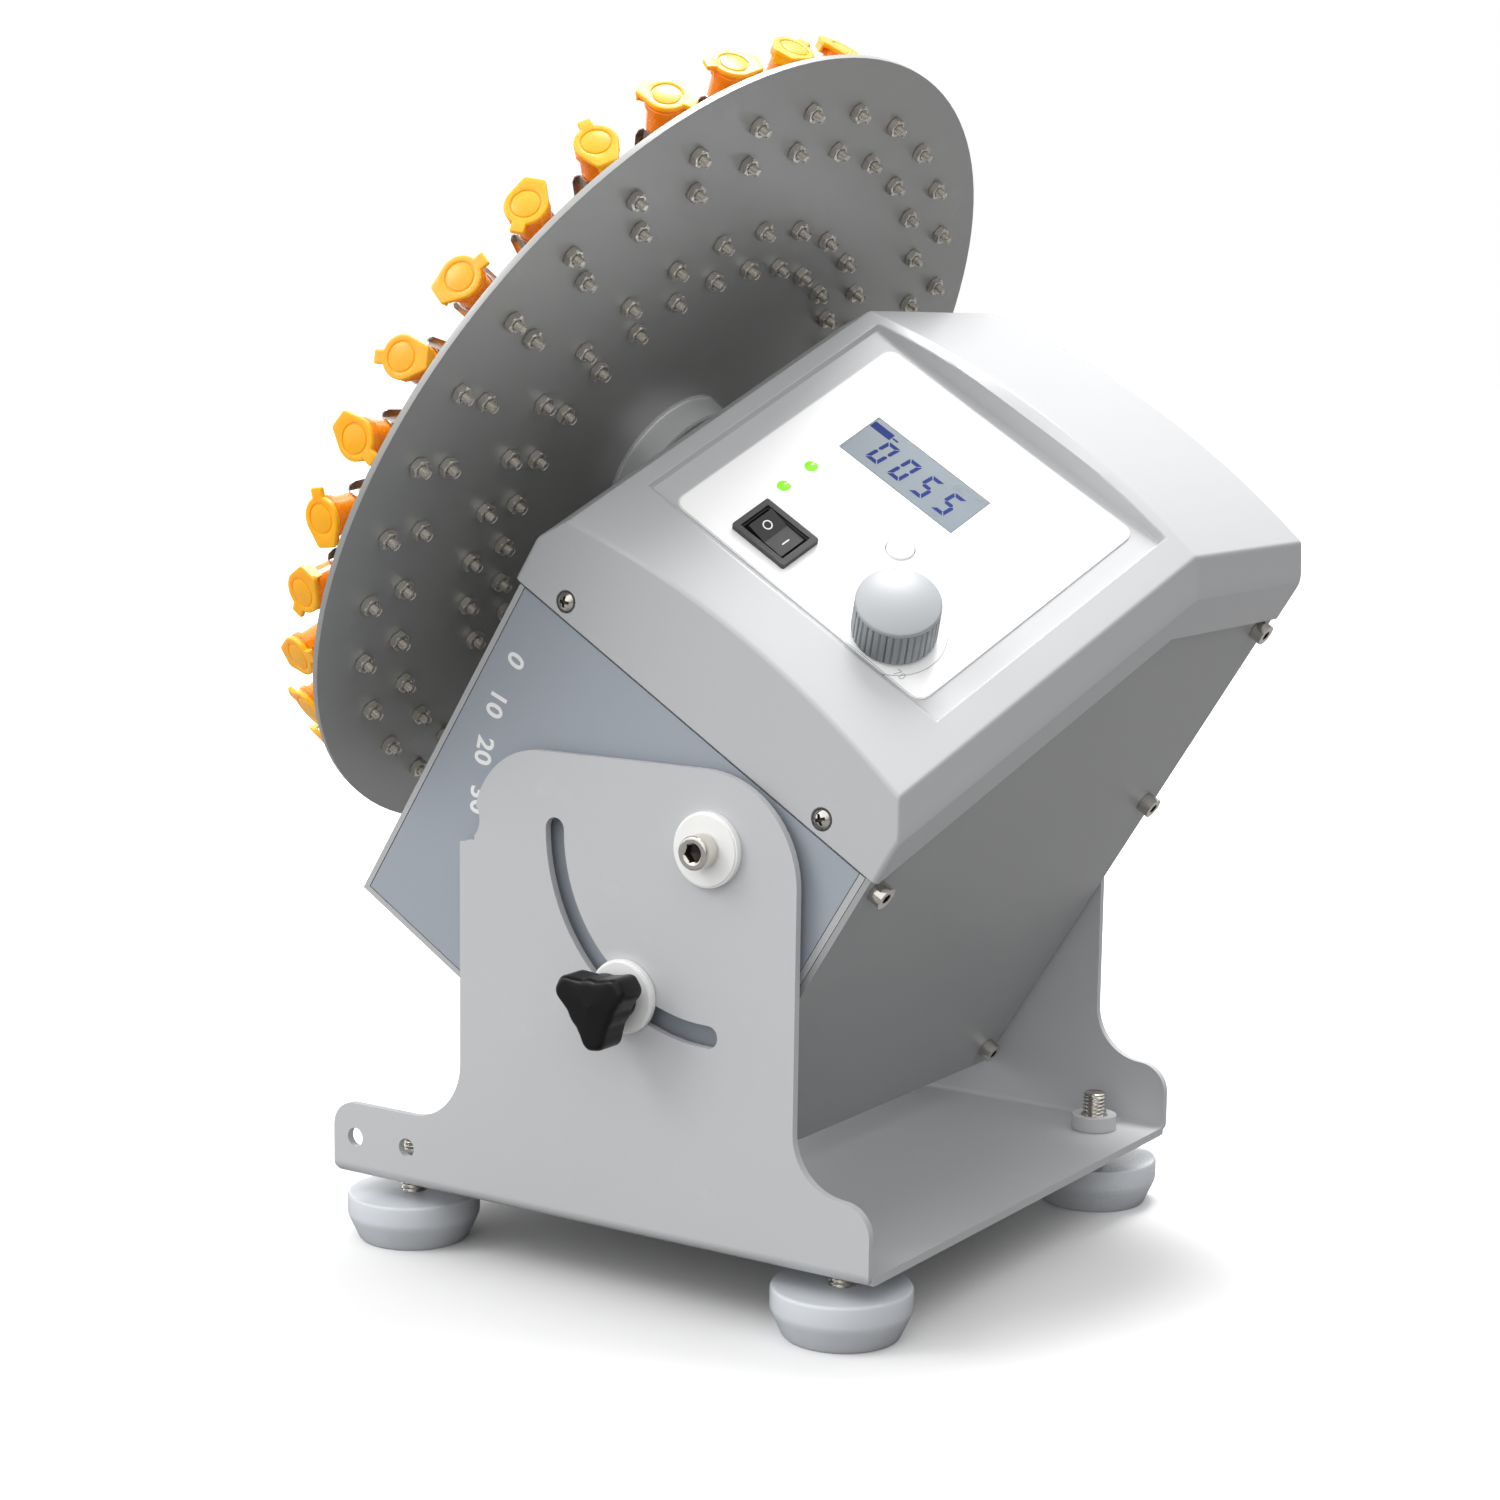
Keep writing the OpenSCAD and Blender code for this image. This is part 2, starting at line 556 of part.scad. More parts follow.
// ---------- drive ----------
function tooth(m, z, bl2) = let(
    rp = m*z/2, rb = rp*cos(20), ra = rp + m, rr = rp - 1.25*m,
    tp = sqrt(pow(rp/rb, 2) - 1), ip = tp*180/PI - atan(tp),
    ha = 90/z - bl2/2/rp*180/PI,
    t0 = rr > rb ? sqrt(pow(rr/rb, 2) - 1) : 0, t1 = sqrt(pow(ra/rb, 2) - 1), n = 5,
    fl = [for (k = [0:n]) let(t = t0 + (t1 - t0)*k/n) [rb*sqrt(1 + t*t), ha + ip - (t*180/PI - atan(t))]])
    concat([[rr - 0.01, -fl[0][1] - 0.01]], [for (f = fl) [f[0], -f[1]]],
           [for (k = [n:-1:0]) fl[k]], [[rr - 0.01, fl[0][1] + 0.01]]);
module gear2d(m, z, bl2) {
  tp = tooth(m, z, bl2);
  polygon([for (i = [0:z - 1], q = tp) let(a = q[1] + i*360/z) [q[0]*cos(a), q[0]*sin(a)]]);
}
module bearing_housing() {
  color([0.70, 0.71, 0.72]) H() translate([u0 + 1.8, 0, disc_v]) rotate([0, 90, 0]) difference() {
    union() { cylinder(h = 4, r = 26); cylinder(h = 29, r = 16); translate([0, 0, -2.4]) cylinder(h = 3, r = 16.5); }
    translate([0, 0, -4]) cylinder(h = 40, r = 8.5);
    translate([0, 0, -4]) cylinder(h = 4 + 6.1, r = 12.05);
    translate([0, 0, 22.9]) cylinder(h = 10, r = 12.05);
    for (a = [45:90:315]) translate([21*cos(a), 21*sin(a), -1]) cylinder(h = 6, r = 1.95);
  }
}
module bearings() {
  color([0.78, 0.78, 0.77]) H() for (u = [u0 + 1.8 + 0.05, u0 + 1.8 + 22.95]) translate([u, 0, disc_v]) rotate([0, 90, 0]) difference() {
    cylinder(h = 6, r = 12);
    translate([0, 0, -1]) cylinder(h = 8, r = 6.04);
    difference() { translate([0, 0, -0.1]) cylinder(h = 0.7, r = 10.2); translate([0, 0, -1]) cylinder(h = 3, r = 7.8); }
    difference() { translate([0, 0, 5.4]) cylinder(h = 1, r = 10.2); translate([0, 0, 4]) cylinder(h = 3, r = 7.8); }
  }
}
module housing_screws() {
  color([0.72, 0.71, 0.68]) H() for (a = [45:90:315])
    translate([u0 + 5.85, 21*cos(a), disc_v + 21*sin(a)]) rotate([0, 90, 0]) cap_screw(3.8, 7, 4, 7.5, 3);
}
module motor_bracket() {
  color([0.74, 0.75, 0.76]) H() difference() {
    union() {
      translate([gear_u + 12, -32, v0 + 1.8]) cube([2.5, 64, mot_v + 26 - v0 - 1.8]);
      translate([gear_u + 12, -32, v0 + 1.8]) cube([24, 64, 2.5]);
    }
    cyl_x(0, mot_v, gear_u + 10, gear_u + 18, 6.3);
    for (a = [0:60:300]) cyl_x(15.5*cos(a), mot_v + 15.5*sin(a), gear_u + 10, gear_u + 18, 1.6);
  }
}
module gear_motor() {
  color([0.58, 0.59, 0.60]) H() translate([gear_u + 14.6, 0, mot_v]) rotate([0, 90, 0]) difference() {
    union() {
      cylinder(h = 24, r = 18.5);
      translate([0, 0, 24 - eps]) cylinder(h = 30, r = 17.5);
      translate([0, 0, 54 - 2*eps]) cylinder(h = 4, r = 6);
      translate([-3, -9, 53]) cube([6, 2, 6]);
      translate([-3, 7, 53]) cube([6, 2, 6]);
      translate([0, 0, -2.5]) cylinder(h = 3, r = 6);
      for (a = [30:60:330]) rotate([0, 0, a]) translate([15.5, 0, -4.4]) cylinder(h = 5, r = 1.5);
    }
    translate([0, 0, -6]) cylinder(h = 22, r = 3.06);
  }
}
module motor_pinion() {
  color([0.78, 0.70, 0.45]) H() translate([gear_u, 0, mot_v]) rotate([0, 90, 0]) union() {
    rotate([0, 0, 180/z_pin]) linear_extrude(8) gear2d(mod_g, z_pin, 0.4);
    translate([0, 0, 7.9]) cylinder(h = 2, r = 6);
    translate([0, 0, 8]) cylinder(h = 20, r = 3);
  }
}
module spindle() {
  color([0.76, 0.76, 0.75]) H() cyl_x(0, disc_v, disc_u + 0.05, -53.6, 6);
}
module drive_gear() {
  color([0.93, 0.92, 0.88]) H() translate([gear_u, 0, disc_v]) rotate([0, 90, 0]) difference() {
    union() {
      linear_extrude(8) gear2d(mod_g, z_drive, 0.4);
      translate([0, 0, -2.6]) cylinder(h = 11, r = 10);
    }
    translate([0, 0, -5]) cylinder(h = 20, r = 6.02);
    for (s = [0, 1]) difference() {
      translate([0, 0, s*8 - 1.5]) cylinder(h = 3, r = 26);
      translate([0, 0, -5]) cylinder(h = 20, r = 12);
    }
    for (a = [0:60:300]) rotate([0, 0, a]) translate([19, 0, -1]) cylinder(h = 10, r = 4.5);
  }
}
module disc_hub() {
  color([0.86, 0.87, 0.88]) D() difference() {
    union() {
      translate([0, 0, -1]) cylinder(h = 1, r = 25);
      translate([0, 0, -9.5]) cylinder(h = 9, r = 24.4);
      translate([0, 0, -10.1]) cylinder(h = 0.7, r1 = 23.8, r2 = 24.4);
      translate([0, 0, -16]) cylinder(h = 6.2, r = 11);
    }
    translate([0, 0, -20]) cylinder(h = 30, r = 6.02);
    difference() { translate([0, 0, -12]) cylinder(h = 3.6, r = 22.2); translate([0, 0, -13]) cylinder(h = 6, r = 11); }
    for (a = [45:90:315]) rotate([0, 0, a]) translate([17, 0, -7]) cylinder(h = 8, r = 1.95);
  }
}
module hub_screws() {
  color([0.72, 0.71, 0.68]) D() {
    for (a = [45:90:315]) rotate([0, 0, a]) translate([17, 0, disc_t + 0.05]) cap_screw(3.8, 7, 4, 8, 3);
    difference() {
      union() { translate([0, 0, disc_t + 0.05]) cylinder(h = 1.2, r = 9); }
      translate([0, 0, 0]) cylinder(h = 10, r = 2.6);
    }
    translate([0, 0, disc_t + 1.3]) cap_screw(5, 8.5, 5, 2.9, 4);
  }
}
module ring_at(n, ph) { for (i = [0:n - 1]) rotate([0, 0, ph + i*360/n]) children(); }
module disc_plate() {
  color([0.62, 0.63, 0.63]) D() difference() {
    cylinder(h = disc_t, r = disc_d/2, $fn = 240);
    translate([0, 0, -1]) cylinder(h = 6, r = 3);
    for (a = [45:90:315]) rotate([0, 0, a]) translate([17, 0, -1]) cylinder(h = 6, r = 2.2);
    ring_at(outer_n, out_ph) for (s = [-1, 1]) translate([out_r + s*6.75, 0, -1]) cylinder(h = 6, r = 1.7, $fn = 24);
    ring_at(inner_n, in_ph) for (s = [-1, 1]) translate([in_r + s*6.75, 0, -1]) cylinder(h = 6, r = 1.7, $fn = 24);
  }
}
// cross-section of a spring clip: x across the tube, y up from the disc
module clip2d() {
  h = axis_h - disc_t; ri = tube_d/2 + 0.15; ro = ri + 0.6;
  union() {
    translate([-4.6, 0]) square([9.2, 0.6]);
    for (s = [0, 1]) mirror([s, 0]) {
      polygon([[4.0, 0], [4.6, 0], [ro*cos(-48) + 0.05, h + ro*sin(-48)], [ri*cos(-48), h + ri*sin(-48)]]);
      intersection() {
        translate([0, h]) difference() { circle(r = ro, $fn = 64); circle(r = ri, $fn = 64); }
        translate([0, h]) polygon([[0, 0], [20*cos(-50), 20*sin(-50)], [24, 0], [20*cos(23), 20*sin(23)]]);
      }
      polygon([[ri*cos(22), h + ri*sin(22)], [ro*cos(22), h + ro*sin(22)], [7.45, h + 4.2], [6.95, h + 4.5]]);
    }
  }
}
module clip(r) {
  translate([r, 0, disc_t + 0.02]) difference() {
    union() {
      translate([-9, 0, 0]) rotate([90, 0, 90]) linear_extrude(18) clip2d();
      translate([-11, -4.6, 0]) cube([22, 9.2, 0.6]);
    }
    for (s = [-1, 1]) translate([s*6.75, 0, -1]) cylinder(h = 3, r = 1.6, $fn = 24);
  }
}
module outer_clips() { color([0.62, 0.56, 0.52]) D() ring_at(outer_n, out_ph) clip(out_r); }
module inner_clips() { color([0.62, 0.56, 0.52]) D() ring_at(inner_n, in_ph) clip(in_r); }
module one_screw() {
  translate([0, 0, disc_t + 0.65]) union() {
    cylinder(h = 1.9, r = 2.7, $fn = 32);
    translate([0, 0, -disc_t - 0.65 - 4.9]) cylinder(h = disc_t + 6, r = 1.45, $fn = 24);
  }
}
module clip_screws() {
  color([0.70, 0.68, 0.64]) D() {
    ring_at(outer_n, out_ph) for (s = [-1, 1]) translate([out_r + s*6.75, 0, 0]) one_screw();
    ring_at(inner_n, in_ph) for (s = [-1, 1]) translate([in_r + s*6.75, 0, 0]) one_screw();
  }
}
module one_nut() {
  translate([0, 0, -2.45]) difference() {
    linear_extrude(2.4) hexagon(5.5);
    translate([0, 0, -1]) cylinder(h = 5, r = 1.52, $fn = 24);
  }
}
module clip_nuts() {
  color([0.66, 0.64, 0.61]) D() {
    ring_at(outer_n, out_ph) for (s = [-1, 1]) translate([out_r + s*6.75, 0, 0]) one_nut();
    ring_at(inner_n, in_ph) for (s = [-1, 1]) translate([in_r + s*6.75, 0, 0]) one_nut();
  }
}
// snap-cap tube, lid outwards along +x from the clip's middle
module tube(r, turn) {
  translate([r + 20.4, 0, axis_h]) rotate([0, -90, 0]) rotate([0, 0, turn]) union() {
    // lid, neck ring and body
    rotate_extrude($fn = 48) polygon([[0, 0], [lid_d/2 - 0.4, 0], [lid_d/2, 0.4], [lid_d/2, 1.5], [lid_d/2 - 0.5, 1.9],
      [lid_d/2 - 0.5, 2.3], [lid_d/2 - 0.2, 2.5], [lid_d/2 - 0.2, 4.1], [tube_d/2, 4.5], [tube_d/2, 21],
      [tube_d/2 - 0.6, 24], [2.6, 37.6], [1.6, 38.8], [0, 39.2]]);
    translate([-1.9, lid_d/2 - 1.6, 0.25]) cube([3.8, 4.3, 1.2]);           // lift tab
    translate([-2.9, -lid_d/2 - 1.9, 0.25]) cube([5.8, 3.6, 3.6]);           // hinge
  }
}
function lid_turn(i) = (i*137.5 + 40)%360;
module outer_tubes() { color([1.0, 0.66, 0.08]) D() for (i = [0:outer_n - 1]) rotate([0, 0, out_ph + i*360/outer_n]) tube(out_r, lid_turn(i)); }
module inner_tubes() { color([1.0, 0.66, 0.08]) D() for (i = [0:inner_n - 1]) rotate([0, 0, in_ph + i*360/inner_n]) tube(in_r, lid_turn(i + 50)); }

bracket();
thread_bosses();
pivot_bushes();
pivot_spacers();
foot_pad(-1, -1);  // foot_pad_front_left
foot_stud(-1, -1);  // foot_stud_front_left
foot_pad(1, -1);  // foot_pad_front_right
foot_stud(1, -1);  // foot_stud_front_right
foot_pad(-1, 1);  // foot_pad_rear_left
foot_stud(-1, 1);  // foot_stud_rear_left
foot_pad(1, 1);  // foot_pad_rear_right
foot_stud(1, 1);  // foot_stud_rear_right
chassis();
side_panel_near();
side_panel_far();
back_plate();
back_plate_screws();
top_cover();
cover_screws();
cover_brackets();
panel_film();
lcd_window();
lcd_module();
led_lenses();
rocker_housing();
rocker_paddle();
mode_button();
control_knob();
knob_shaft();
knob_potentiometer();
control_board();
board_standoffs();
drive_board();
dc_inlet();
pivot_blocks();
pivot_screws();
tilt_washer();
tilt_knob();
tilt_stud();
bearing_housing();
bearings();
housing_screws();
motor_bracket();
gear_motor();
motor_pinion();
spindle();
drive_gear();
disc_hub();
hub_screws();
disc_plate();
outer_clips();
inner_clips();
clip_screws();
clip_nuts();
outer_tubes();
inner_tubes();
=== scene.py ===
import bpy, bmesh, math
import numpy as np
from mathutils import Matrix, Vector


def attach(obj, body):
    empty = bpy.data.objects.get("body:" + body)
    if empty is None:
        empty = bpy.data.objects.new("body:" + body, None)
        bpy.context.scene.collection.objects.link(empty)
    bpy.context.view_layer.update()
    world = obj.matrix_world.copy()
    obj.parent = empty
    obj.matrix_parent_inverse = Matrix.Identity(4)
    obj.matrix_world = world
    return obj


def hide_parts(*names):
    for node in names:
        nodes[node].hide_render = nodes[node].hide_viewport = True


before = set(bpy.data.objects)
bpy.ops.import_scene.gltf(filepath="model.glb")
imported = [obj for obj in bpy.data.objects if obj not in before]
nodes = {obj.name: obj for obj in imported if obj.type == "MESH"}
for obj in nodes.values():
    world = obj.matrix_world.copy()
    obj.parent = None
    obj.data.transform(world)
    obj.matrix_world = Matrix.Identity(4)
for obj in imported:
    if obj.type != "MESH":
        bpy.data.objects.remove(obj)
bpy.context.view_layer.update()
sc = bpy.context.scene
MM = 0.001

# ------------------------------------------------------------------ frames (mm)
TH = math.radians(31.8)
SL = math.radians(34.8)
XO = -2.99
XP = 43.0 + XO
PZ = 140.8
HW, CW = 92.4, 93.0
COVER_LOW, COVER_TOP, LOW = 47.8, 121.0, 22.7
C0, C1 = -101.1, 46.4
FAR_LOW = LOW + COVER_TOP - COVER_LOW
DISC_U, DISC_V, DISC_T = -126.1, 44.0, 2.0
OUT_R, IN_R, OUT_PH, IN_PH, AXIS_H = 121.0, 79.75, 1.35, 3.0, 13.8
H = Matrix.Translation((XP, 0, PZ)) @ Matrix.Rotation(TH, 4, 'Y')
S = H @ Matrix.Translation((0, -CW, COVER_LOW)) @ Matrix.Rotation(SL, 4, 'X')
D = H @ Matrix.Translation((DISC_U, 0, DISC_V)) @ Matrix.Rotation(-math.pi/2, 4, 'Y')


def lin(r, g, b, a=1.0):
    f = lambda c: (c/255/12.92 if c/255 <= 0.04045 else ((c/255 + 0.055)/1.055)**2.4)
    return (f(r), f(g), f(b), a)


# ------------------------------------------------------------------ camera
def put_camera():
    az, el, ro = map(math.radians, (32.87, 8.41, 0.83))
    b = Vector((math.sin(az)*math.cos(el), -math.cos(az)*math.cos(el), math.sin(el)))
    r0 = Vector((math.cos(az), math.sin(az), 0))
    u0 = b.cross(r0)
    r = r0*math.cos(ro) + u0*math.sin(ro)
    u = -r0*math.sin(ro) + u0*math.cos(ro)
    m = Matrix((( r.x, u.x, b.x, (492.1 + XO)*MM), (r.y, u.y, b.y, -772.7*MM),
                (r.z, u.z, b.z, 289.25*MM), (0, 0, 0, 1)))
    cam = bpy.data.cameras.new("camera")
    cam.sensor_width = 36
    cam.sensor_fit = 'HORIZONTAL'
    cam.lens = 69.54
    cam.clip_start, cam.clip_end = 0.05, 20
    ob = bpy.data.objects.new("camera", cam)
    ob.matrix_world = m
    sc.collection.objects.link(ob)
    sc.camera = ob


put_camera()


# ------------------------------------------------------------------ materials
def material(name, color, rough=0.5, metal=0.0, var=0.04, rvar=0.08, bump=0.05, grain=900.0, blotch=25.0,
             stretch=(1, 1, 1), coat=0.0, coat_rough=0.1, spec=0.5, sss=0.0, sss_radius=None, trans=0.0,
             ior=1.5, emit=None, emit_s=0.0, wear=None, wear_amt=0.0, dirt=0.0, aniso=0.0, alpha=1.0, dist=0.0002):
    m = bpy.data.materials.new(name)
    m.use_nodes = True
    nt = m.node_tree
    N, L = nt.nodes, nt.links
    N.clear()
    out = N.new("ShaderNodeOutputMaterial")
    bs = N.new("ShaderNodeBsdfPrincipled")
    L.new(bs.outputs[0], out.inputs[0])
    tc = N.new("ShaderNodeTexCoord")
    mp = N.new("ShaderNodeMapping")
    mp.inputs["Scale"].default_value = stretch
    L.new(tc.outputs["Object"], mp.inputs["Vector"])
    big = N.new("ShaderNodeTexNoise")
    big.inputs["Scale"].default_value = blotch
    big.inputs["Detail"].default_value = 5
    L.new(mp.outputs[0], big.inputs["Vector"])
    fine = N.new("ShaderNodeTexNoise")
    fine.inputs["Scale"].default_value = grain
    fine.inputs["Detail"].default_value = 3
    L.new(mp.outputs[0], fine.inputs["Vector"])
    # colour: base, a little darker and lighter by the two noises
    mixn = N.new("ShaderNodeMath"); mixn.operation = 'MULTIPLY_ADD'
    L.new(big.outputs["Fac"], mixn.inputs[0]); mixn.inputs[1].default_value = 0.6
    add = N.new("ShaderNodeMath"); add.operation = 'MULTIPLY'
    L.new(fine.outputs["Fac"], add.inputs[0]); add.inputs[1].default_value = 0.4
    L.new(add.outputs[0], mixn.inputs[2])
    ramp = N.new("ShaderNodeValToRGB")
    lo = tuple(max(0, c*(1 - var)) for c in color[:3]) + (1,)
    hi = tuple(min(1, c*(1 + var)) for c in color[:3]) + (1,)
    ramp.color_ramp.elements[0].position = 0.3; ramp.color_ramp.elements[0].color = lo
    ramp.color_ramp.elements[1].position = 0.7; ramp.color_ramp.elements[1].color = hi
    L.new(mixn.outputs[0], ramp.inputs[0])
    col = ramp.outputs[0]
    if wear_amt > 0:
        scuff = N.new("ShaderNodeTexNoise")
        scuff.inputs["Scale"].default_value = blotch*2.3
        scuff.inputs["Detail"].default_value = 9
        scuff.inputs["Roughness"].default_value = 0.72
        L.new(tc.outputs["Object"], scuff.inputs["Vector"])
        wr = N.new("ShaderNodeMapRange")
        wr.inputs[1].default_value = 0.60; wr.inputs[2].default_value = 0.78
        wr.inputs[3].default_value = 0.0; wr.inputs[4].default_value = wear_amt*0.25
        L.new(scuff.outputs["Fac"], wr.inputs[0])
        mx = N.new("ShaderNodeMixRGB"); mx.blend_type = 'MIX'
        L.new(wr.outputs[0], mx.inputs[0]); L.new(col, mx.inputs[1]); mx.inputs[2].default_value = wear or (1, 1, 1, 1)
        col = mx.outputs[0]
    L.new(col, bs.inputs["Base Color"])
    rr = N.new("ShaderNodeMapRange")
    rr.inputs[1].default_value = 0.3; rr.inputs[2].default_value = 0.7
    rr.inputs[3].default_value = max(0.02, rough - rvar); rr.inputs[4].default_value = min(1, rough + rvar)
    L.new(mixn.outputs[0], rr.inputs[0])
    L.new(rr.outputs[0], bs.inputs["Roughness"])
    if bump > 0:
        bp = N.new("ShaderNodeBump")
        bp.inputs["Strength"].default_value = bump
        bp.inputs["Distance"].default_value = dist
        L.new(fine.outputs["Fac"], bp.inputs["Height"])
        L.new(bp.outputs[0], bs.inputs["Normal"])
    bs.inputs["Metallic"].default_value = metal
    bs.inputs["IOR"].default_value = ior
    bs.inputs["Specular IOR Level"].default_value = spec
    bs.inputs["Coat Weight"].default_value = coat
    bs.inputs["Coat Roughness"].default_value = coat_rough
    bs.inputs["Transmission Weight"].default_value = trans
    bs.inputs["Subsurface Weight"].default_value = sss
    if sss_radius:
        bs.inputs["Subsurface Radius"].default_value = sss_radius
        bs.inputs["Subsurface Scale"].default_value = 0.003
    bs.inputs["Anisotropic"].default_value = aniso
    bs.inputs["Alpha"].default_value = alpha
    if emit:
        bs.inputs["Emission Color"].default_value = emit
        bs.inputs["Emission Strength"].default_value = emit_s
    return m


M = {
    "bracket": material("bracket_paint", lin(199, 200, 202), 0.42, 0.0, 0.015, 0.05, 0.10, 1500, 18, coat=0.15, coat_rough=0.35, wear=lin(236, 237, 238), wear_amt=0.5),
    "casing": material("casing_paint", lin(186, 187, 188), 0.40, 0.0, 0.015, 0.05, 0.08, 1700, 18, coat=0.15, coat_rough=0.3, wear=lin(238, 238, 239), wear_amt=0.4),
    # back plate colour darker than the casing paint: painted shade on the plate that faces down and away from the light
    "back": material("back_plate_painted_shade", lin(164, 165, 166), 0.40, 0.0, 0.015, 0.05, 0.08, 1700, 18, coat=0.15, coat_rough=0.3, wear=lin(220, 220, 221), wear_amt=0.4),
    # near-white and silver edge colours: painted highlight along the rounded edges and cut edges
    "painted_highlight_edge": material("painted_highlight_edge_white", lin(252, 252, 252), 0.34, 0.0, 0.01, 0.05, 0.05, 1700, 18, coat=0.3, coat_rough=0.2),
    "painted_highlight_edge_silver": material("painted_highlight_edge_silver", lin(212, 214, 217), 0.30, 0.3, 0.02, 0.05, 0.05, 1700, 18),
    "painted_highlight_disc_rim": material("painted_highlight_disc_rim_white", lin(240, 240, 238), 0.28, 0.3, 0.02, 0.05, 0.05, 1700, 18),
    "socket": material("socket_shadow", lin(70, 62, 56), 0.35, 0.6, 0.06, 0.06, 0.05, 1600, 90),
    # dark grey: painted shadow for the gap round the cover screws
    "painted_gap_shadow": material("painted_gap_shadow", lin(62, 62, 64), 0.6, 0.0, 0.06, 0.06, 0.05, 1600, 90),
    "slate": material("slate_paint", lin(163, 170, 179), 0.42, 0.0, 0.02, 0.05, 0.06, 1800, 14, coat=0.1, coat_rough=0.3),
    "cover": material("cover_moulding", lin(193, 194, 196), 0.36, 0.0, 0.012, 0.04, 0.10, 2400, 20, coat=0.2, coat_rough=0.28, sss=0.0),
    # faint white emission on the panel film and the mode button: painted glow, the film is no lamp
    "film": material("panel_film_white_painted_glow", lin(252, 252, 252), 0.38, 0.0, 0.004, 0.04, 0.02, 2500, 30, coat=0.3, coat_rough=0.2, emit=lin(255, 255, 255), emit_s=0.10),
    "foot": material("foot_moulding", lin(222, 226, 231), 0.30, 0.0, 0.02, 0.05, 0.06, 1400, 30, coat=0.35, coat_rough=0.15),
    "nylon": material("white_nylon", lin(250, 250, 248), 0.38, 0.0, 0.01, 0.05, 0.05, 1500, 60, sss=0.25, sss_radius=(1, 0.9, 0.8)),
    "black": material("black_moulding", lin(3, 3, 4), 0.34, 0.0, 0.15, 0.06, 0.08, 1800, 60, coat=0.06, coat_rough=0.2, spec=0.28),
    "rocker": material("rocker_black", lin(30, 30, 32), 0.42, 0.0, 0.10, 0.05, 0.15, 2200, 80, coat=0.1, coat_rough=0.3),
    "rocker_frame": material("rocker_frame_black", lin(56, 56, 58), 0.5, 0.0, 0.12, 0.05, 0.35, 2600, 80),
    "knob": material("knob_grey", lin(168, 171, 174), 0.42, 0.0, 0.012, 0.04, 0.10, 2200, 50, coat=0.1, coat_rough=0.3),
    "steel": material("plated_steel", lin(196, 192, 186), 0.24, 1.0, 0.06, 0.08, 0.12, 1600, 120),
    "stainless": material("stainless_steel", lin(214, 210, 203), 0.15, 1.0, 0.05, 0.06, 0.10, 1600, 120),
    "dark_steel": material("nickel_steel", lin(214, 209, 200), 0.20, 0.75, 0.10, 0.08, 0.15, 1600, 150),
    "spring": material("spring_steel", lin(176, 160, 148), 0.22, 1.0, 0.08, 0.07, 0.10, 900, 60, stretch=(1, 1, 1)),
    "hub": material("turned_aluminium", lin(246, 247, 248), 0.22, 0.55, 0.03, 0.05, 0.08, 2600, 60),
    "housing": material("machined_aluminium", lin(240, 241, 242), 0.32, 0.30, 0.05, 0.08, 0.15, 1400, 60),
    "disc": material("disc_satin", lin(172, 173, 171), 0.38, 0.4, 0.02, 0.05, 0.05, 1700, 12, coat=0.0, wear=lin(240, 240, 240), wear_amt=0.6),
    "lcd": material("lcd_face", lin(110, 124, 134), 0.30, 0.0, 0.02, 0.04, 0.02, 3000, 90, coat=0.5, coat_rough=0.12),
    "lcd_case": material("lcd_case", lin(120, 124, 128), 0.5, 0.0, 0.05, 0.05, 0.1, 1500, 60),
    "ink_blue": material("lcd_ink", lin(4, 38, 122), 0.55, 0.0, 0.05, 0.05, 0.02, 3000, 90, spec=0.2),
    "ink_white": material("print_white", lin(250, 250, 250), 0.5, 0.0, 0.01, 0.05, 0.03, 3000, 90),
    # grey for print, and for the painted shadow line along the panel film's edge
    "print_and_painted_shadow_grey": material("print_and_edge_shadow_grey", lin(196, 198, 200), 0.5, 0.0, 0.02, 0.05, 0.03, 3000, 90),
    "lamp": material("lamp_green", lin(130, 226, 20), 0.2, 0.0, 0.05, 0.04, 0.02, 2000, 90, coat=0.6, coat_rough=0.08, emit=lin(120, 235, 10), emit_s=0.55),
    "board": material("solder_mask", lin(24, 92, 52), 0.35, 0.0, 0.12, 0.08, 0.10, 1200, 90, coat=0.4),
    "brass": material("turned_brass", lin(201, 168, 96), 0.28, 1.0, 0.06, 0.06, 0.08, 1500, 80),
    "gear": material("gear_nylon", lin(240, 236, 224), 0.42, 0.0, 0.02, 0.05, 0.08, 1500, 60, sss=0.15, sss_radius=(1, 0.9, 0.8)),
    "motor": material("motor_can", lin(150, 152, 154), 0.32, 1.0, 0.06, 0.08, 0.12, 1200, 50),
    # orange emission on the tube lids and bodies: painted glow, the tubes are no lamps
    "tube_lid": material("lid_yellow_painted_glow", lin(255, 178, 0), 0.36, 0.0, 0.02, 0.04, 0.015, 1400, 80, coat=0.2, coat_rough=0.2, sss=0.55, sss_radius=(1.0, 0.7, 0.15), emit=lin(255, 176, 10), emit_s=0.10),
    "tube_body": material("tube_orange_painted_glow", lin(255, 150, 10), 0.26, 0.0, 0.04, 0.05, 0.04, 1200, 80, coat=0.25, coat_rough=0.15, sss=0.5, sss_radius=(1.0, 0.5, 0.08), trans=0.15, emit=lin(255, 120, 0), emit_s=0.08),
}


